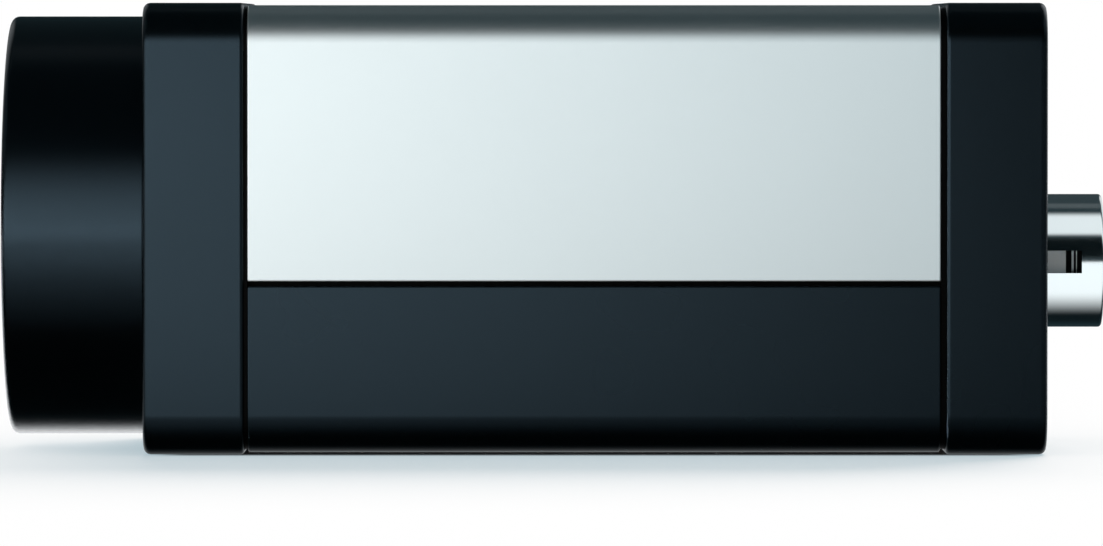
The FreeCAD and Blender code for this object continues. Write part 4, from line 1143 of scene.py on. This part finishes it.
class CAMERA_OT_stage(bpy.types.Operator):
    """Set up the floor, the panels that gloss and metal show, the daylight, the lamp and the camera"""

    bl_idname = "camera_part.stage"
    bl_label = "Stage"

    def execute(self, context):
        self.floor()
        self.panels()
        self.world()
        self.lamp()
        self.camera()
        view = bpy.context.scene.view_settings
        view.view_transform = "Standard"
        return {"FINISHED"}

    def link(self, obj):
        bpy.context.scene.collection.objects.link(obj)

    def floor(self):
        """Plain floor, lifted towards white where the camera sees it; the lift is left out below the
        part, which paints its contact shadow.
        """
        bm = bmesh.new()
        bmesh.ops.create_grid(bm, x_segments=1, y_segments=1, size=60.0)
        bmesh.ops.translate(bm, vec=(0, 0, -0.01 * MM), verts=bm.verts)
        mesh = bpy.data.meshes.new("floor")
        bm.to_mesh(mesh)
        bm.free()
        material, nodes, shader = new_material("plain_floor")
        colour = settings("camera_stage").floor
        shader.inputs["Base Color"].default_value = rgba(colour)
        shader.inputs["Roughness"].default_value = 0.9
        shader.inputs["Specular IOR Level"].default_value = 0.0
        path = nodes.add("ShaderNodeLightPath")
        seen = nodes.math("MAXIMUM", path.outputs["Is Camera Ray"], path.outputs["Is Glossy Ray"])
        seen = nodes.math("MAXIMUM", seen, path.outputs["Is Transmission Ray"])
        x, y, _ = nodes.split(nodes.place())
        soft = 1.5 * MM
        # painted contact shadow: the floor's glow is taken out under the part's footprint, so the gap
        # beneath the housing shows dark
        below = nodes.patch(
            x, y, FRONT_LOW.x + soft, X_BACK - soft, -HALF + soft, HALF - soft, soft, soft)
        seen = nodes.math("MULTIPLY", seen, nodes.math("SUBTRACT", 1.0, below))
        shader.inputs["Emission Color"].default_value = rgba([1 - c for c in colour])
        nodes.link(seen, shader.inputs["Emission Strength"])
        mesh.materials.append(material)
        floor = bpy.data.objects.new("floor", mesh)
        floor.visible_glossy = False
        self.link(floor)

    def panels(self):
        """Dim room, walls of light, sheens over the floor, a strip and a panel at the side.

        Gloss and metal alone show them, each piece its own; their glow adds to what lies behind.
        """
        bm = bmesh.new()
        bmesh.ops.create_icosphere(bm, subdivisions=4, radius=3.0)
        bmesh.ops.translate(bm, vec=AXIS, verts=bm.verts)
        self.glow_piece("studio_room", bm, self.room_level, clear=False)
        plated = ("connector_shell", "connector_key")
        cover = ("silver_cover",)
        nose = ("turned_nose", "lens_thread")
        every = [obj.name for obj in bpy.context.scene.objects if obj.type == "MESH"]
        rest = [name for name in every if name not in plated + cover + nose]
        self.wall("black_wall", BLACK_WALL, rest)
        self.wall("silver_wall", SILVER_WALL, cover)
        self.wall("nose_wall", NOSE_WALL, nose)
        sheen = (0.6, 0.6)
        self.card("floor_sheen", sheen, (0, 0, -0.02 * MM), self.sheen_level, rest)
        self.card("silver_floor", sheen, (0, 0, -0.03 * MM), self.silver_floor_level, cover)
        self.card("shell_floor", sheen, (0, 0, -0.04 * MM), self.shell_floor_level, plated)
        self.card("nose_floor", sheen, (0, 0, -0.05 * MM), self.nose_floor_level, nose)
        above = (X_BACK + 0.05, 0.195, SHELL_AXIS.z + 0.045)
        self.card("shell_strip", (0.10, 0.30), above, self.strip_level, plated)
        side = ("black_tray", "rear_end_plate")
        self.card("side_panel", (0.25, 0.25), (-0.25, 0, 0), self.side_level, side, upright=True)

    def card(self, name, half, place, level, lit, upright=False):
        """Flat glowing card, lying or standing across the optical axis."""
        bm = bmesh.new()
        bmesh.ops.create_grid(bm, x_segments=1, y_segments=1, size=1)
        bmesh.ops.scale(bm, vec=(*half, 1), verts=bm.verts)
        if upright:
            bmesh.ops.rotate(bm, matrix=Matrix.Rotation(math.pi / 2, 3, "Y"), verts=bm.verts)
        bmesh.ops.translate(bm, vec=place, verts=bm.verts)
        self.light_only(self.glow_piece(name, bm, level), lit)

    def wall(self, name, shape, lit):
        """Wall of light, one metre square, that stands along the part."""
        bm = bmesh.new()
        bmesh.ops.create_grid(bm, x_segments=1, y_segments=1, size=0.5)
        bmesh.ops.rotate(bm, matrix=Matrix.Rotation(math.pi / 2, 3, "X"), verts=bm.verts)
        bmesh.ops.translate(bm, vec=(-0.2, -shape["away"], 0.5), verts=bm.verts)
        self.light_only(self.glow_piece(name, bm, self.wall_level(shape)), lit)

    def light_only(self, panel, names):
        """Let a panel light these pieces alone."""
        lit = bpy.data.collections.new(panel.name)
        for name in names:
            lit.objects.link(bpy.data.objects[name])
        panel.light_linking.receiver_collection = lit

    def glow_piece(self, name, bm, level, clear=True):
        """Surface that glows by place and may be clear; level returns its colour and its strength."""
        mesh = bpy.data.meshes.new(name)
        bm.to_mesh(mesh)
        bm.free()
        material = bpy.data.materials.new(name)
        material.use_nodes = True
        material.node_tree.nodes.clear()
        nodes = Nodes(material.node_tree)
        place = nodes.place()
        glow = nodes.add("ShaderNodeEmission")
        colour, strength = level(nodes, place)
        nodes.feed(glow, Color=colour, Strength=strength)
        surface = glow.outputs[0]
        if clear:
            both = nodes.add("ShaderNodeAddShader")
            nodes.link(surface, both.inputs[0])
            nodes.link(nodes.add("ShaderNodeBsdfTransparent").outputs[0], both.inputs[1])
            surface = both.outputs[0]
        end = nodes.add("ShaderNodeOutputMaterial")
        nodes.link(surface, end.inputs["Surface"])
        material.cycles.emission_sampling = "NONE"
        mesh.materials.append(material)
        made = bpy.data.objects.new(name, mesh)
        made.visible_camera = False
        made.visible_diffuse = False
        made.visible_transmission = False
        made.visible_shadow = False
        self.link(made)
        return made

    def room_level(self, nodes, place):
        """Room that is dimmer below and in front, with soft panels; in degrees round the part."""
        way = nodes.vector("NORMALIZE", nodes.vector("SUBTRACT", place, AXIS))
        x, y, z = nodes.split(way)
        azimuth = nodes.math("DEGREES", nodes.math("ARCTAN2", x, nodes.math("MULTIPLY", y, -1.0)))
        height = nodes.math("DEGREES", nodes.math("ARCSINE", z))
        total = 0.0
        for *shape, level in ROOM_PANELS:
            total = nodes.math("MULTIPLY_ADD", nodes.patch(azimuth, height, *shape), level, total)
        front = nodes.patch(azimuth, height, -70, 70, 6, 40, 8, 3)
        low = nodes.steps(height, -60, -20, 0.3, 1.0)
        share = nodes.math("MULTIPLY_ADD", front, -0.85, low)
        base = nodes.vector("MULTIPLY", (0.016, 0.032, 0.038), share)
        return nodes.vector("ADD", total, base), 1.0

    def wall_level(self, shape):
        """Wall that is bright at the left and fades to the right and past its upper edge."""
        left, right, top, soft = (shape[key] for key in ("left", "right", "top", "soft"))

        def level(nodes, place):
            x, _, z = nodes.split(place)
            across = nodes.steps(x, left, right, 1.0, shape["low"], smooth=False)
            under = nodes.steps(z, top - soft, top + soft, 1.0, 0.0)
            far = nodes.steps(x, -0.20, -0.06, shape["far"], 1.0)
            key = settings("camera_stage").key * shape["gain"]
            fade = nodes.steps(x, left, right, smooth=False)
            cool = nodes.vector("MULTIPLY_ADD", fade, shape["cool"], (1, 1, 1))
            bright = nodes.math("MULTIPLY", across, under)
            return cool, nodes.math("MULTIPLY", bright, nodes.math("MULTIPLY", far, key))
        return level

    def sheen_level(self, nodes, place):
        """Floor as the black parts show it, a painted reflection: painted shade of the housing darkens
        it against the housing, it is brighter away from it, and a painted glow lies beneath the
        housing's edge.
        """
        x, y, _ = nodes.split(place)
        # painted shade: the sheen fades to nothing against the housing
        near = nodes.steps(y, -0.019, -0.014, 0.27, 0.0)
        before = nodes.math("ADD", near, nodes.steps(y, -0.060, -0.019, 0.55, 0.0, smooth=False))
        right = nodes.steps(x, -0.02, 0.03, 1.0, 0.35, smooth=False)
        # painted glow beneath the housing's edge, where the floor lies in shade
        under = nodes.steps(y, -0.0132, -0.0115, 0.0, 0.45)
        return WHITE, nodes.math("MAXIMUM", nodes.math("MULTIPLY", before, right), under)

    def silver_floor_level(self, nodes, place):
        """Floor as the silver cover shows it: brighter before the part and at the left."""
        x, y, _ = nodes.split(place)
        across = nodes.steps(x, -0.050, 0.060, 1.0, 0.3, smooth=False)
        return WHITE, nodes.math("MULTIPLY", across, nodes.steps(y, -0.10, -0.02, 1.25, 0.8))

    def nose_floor_level(self, nodes, place):
        """Floor as the nose shows it, a painted reflection: brighter away before the part, painted shade
        near it, and a painted glow under the nose and behind it.
        """
        _, y, _ = nodes.split(place)
        before = nodes.steps(y, -0.058, -0.0165, 1.15, 0.0, smooth=False)
        # painted shade near the part, and a painted glow under and behind the nose
        return WHITE, nodes.math("MAXIMUM", before, nodes.steps(y, -0.0032, 0.0002, 0.0, 1.6))

    def shell_floor_level(self, nodes, place):
        """Floor as the plated shell shows it, a painted reflection: bright before the part, with painted
        shade beneath it.
        """
        _, y, _ = nodes.split(place)
        return WHITE, nodes.steps(y, -0.0185, -0.0062, 1.15, 0.0)

    def strip_level(self, nodes, place):
        """Bright strip over the plated shell, with a faint rest behind it."""
        x, y, _ = nodes.split(place)
        strip = nodes.math("MULTIPLY", nodes.patch(x, y, -9, 9, -0.0515, -0.0108, 1, 0.0055), 0.95)
        return WHITE, nodes.math("MULTIPLY_ADD", nodes.steps(y, 0.008, 0.012), 0.02, strip)

    def side_level(self, nodes, place):
        """Light from beyond the nose, which broken edges that face it show as lines."""
        _, y, z = nodes.split(place)
        mask = nodes.patch(y, z, -0.042, 0.03, -1, 0.10, 0.008, 0.02)
        return WHITE, nodes.math("MULTIPLY", mask, 5.0)

    def world(self):
        """White all round, with only the daylight's share of it in diffuse light."""
        world = bpy.data.worlds.new("plain_studio")
        world.use_nodes = True
        back = world.node_tree.nodes["Background"]
        back.inputs["Color"].default_value = WHITE
        nodes = Nodes(world.node_tree)
        path = nodes.add("ShaderNodeLightPath")
        daylight = settings("camera_stage").daylight
        level = nodes.steps(path.outputs["Is Diffuse Ray"], 0, 1, 1.0, daylight, smooth=False)
        nodes.link(level, back.inputs["Strength"])
        world.cycles.sampling_method = "NONE"
        bpy.context.scene.world = world

    def lamp(self):
        """Wide soft lamp high behind, which lays the housing's shadow before it."""
        s = settings("camera_stage")
        data = bpy.data.lights.new("soft_lamp", "SUN")
        data.angle = s.lamp_width
        data.energy = (1 - s.daylight) * math.pi / math.sin(s.lamp_height)
        lamp = bpy.data.objects.new("soft_lamp", data)
        level = math.cos(s.lamp_height)
        way = Vector((
            level * math.sin(s.lamp_turn), level * math.cos(s.lamp_turn), math.sin(s.lamp_height)))
        lamp.rotation_euler = way.to_track_quat("Z", "Y").to_euler()
        lamp.visible_glossy = False
        lamp.visible_transmission = False
        lamp.visible_camera = False
        bpy.context.scene.collection.objects.link(lamp)
        housing = bpy.data.collections.new("housing")
        for name in ("front_end_plate", "silver_cover", "black_tray", "rear_end_plate"):
            housing.objects.link(bpy.data.objects[name])
        lamp.light_linking.blocker_collection = housing

    def camera(self):
        """Long lens a little above the floor, square to the part's side."""
        s = settings("camera_stage")
        data = bpy.data.cameras.new("camera")
        data.sensor_width = 36.0
        data.lens = s.lens
        data.clip_start = 0.01
        data.clip_end = 200.0
        aim = Vector((s.aim_shift, 0, AXIS.z - s.aim_drop))
        back = Vector((0, -math.cos(s.elevation), math.sin(s.elevation)))
        camera = bpy.data.objects.new("camera", data)
        camera.location = aim + back * s.distance
        camera.rotation_euler = (-back).to_track_quat("-Z", "Y").to_euler()
        bpy.context.scene.collection.objects.link(camera)
        bpy.context.scene.camera = camera


class CAMERA_PT_sidebar(bpy.types.Panel):
    """Sizes, colours and pieces of the machine vision camera"""

    bl_idname = "CAMERA_PT_sidebar"
    bl_label = "Machine Vision Camera"
    bl_space_type = "VIEW_3D"
    bl_region_type = "UI"
    bl_category = "Camera Part"

    def draw(self, context):
        for name in SETTING_NAMES:
            box = self.layout.box()
            group_of = getattr(context.scene, name)
            for prop in group_of.__annotations__:
                box.prop(group_of, prop)
        for operator in OPERATORS:
            self.layout.operator(operator.bl_idname)


SETTINGS = {
    "camera_body": BodySettings,
    "camera_nose": NoseSettings,
    "camera_connector": ConnectorSettings,
    "camera_finish": FinishSettings,
    "camera_stage": StageSettings,
}
SETTING_NAMES = tuple(SETTINGS)
OPERATORS = (
    CAMERA_OT_nose,
    CAMERA_OT_plates,
    CAMERA_OT_covers,
    CAMERA_OT_screws,
    CAMERA_OT_optics,
    CAMERA_OT_round_connector,
    CAMERA_OT_network_jack,
    CAMERA_OT_lights,
    CAMERA_OT_boards,
    CAMERA_OT_stage,
)


def register():
    for name, cls in SETTINGS.items():
        bpy.utils.register_class(cls)
        setattr(bpy.types.Scene, name, PointerProperty(type=cls))
    for cls in OPERATORS + (CAMERA_PT_sidebar,):
        bpy.utils.register_class(cls)


def unregister():
    for cls in (CAMERA_PT_sidebar,) + OPERATORS[::-1]:
        bpy.utils.unregister_class(cls)
    for name, cls in reversed(SETTINGS.items()):
        delattr(bpy.types.Scene, name)
        bpy.utils.unregister_class(cls)


def main():
    register()
    for operator in OPERATORS:
        family, name = operator.bl_idname.split(".")
        done = getattr(getattr(bpy.ops, family), name)()
        if "FINISHED" not in done:
            raise RuntimeError(operator.bl_label + " did not finish")


if __name__ == "__main__":
    main()
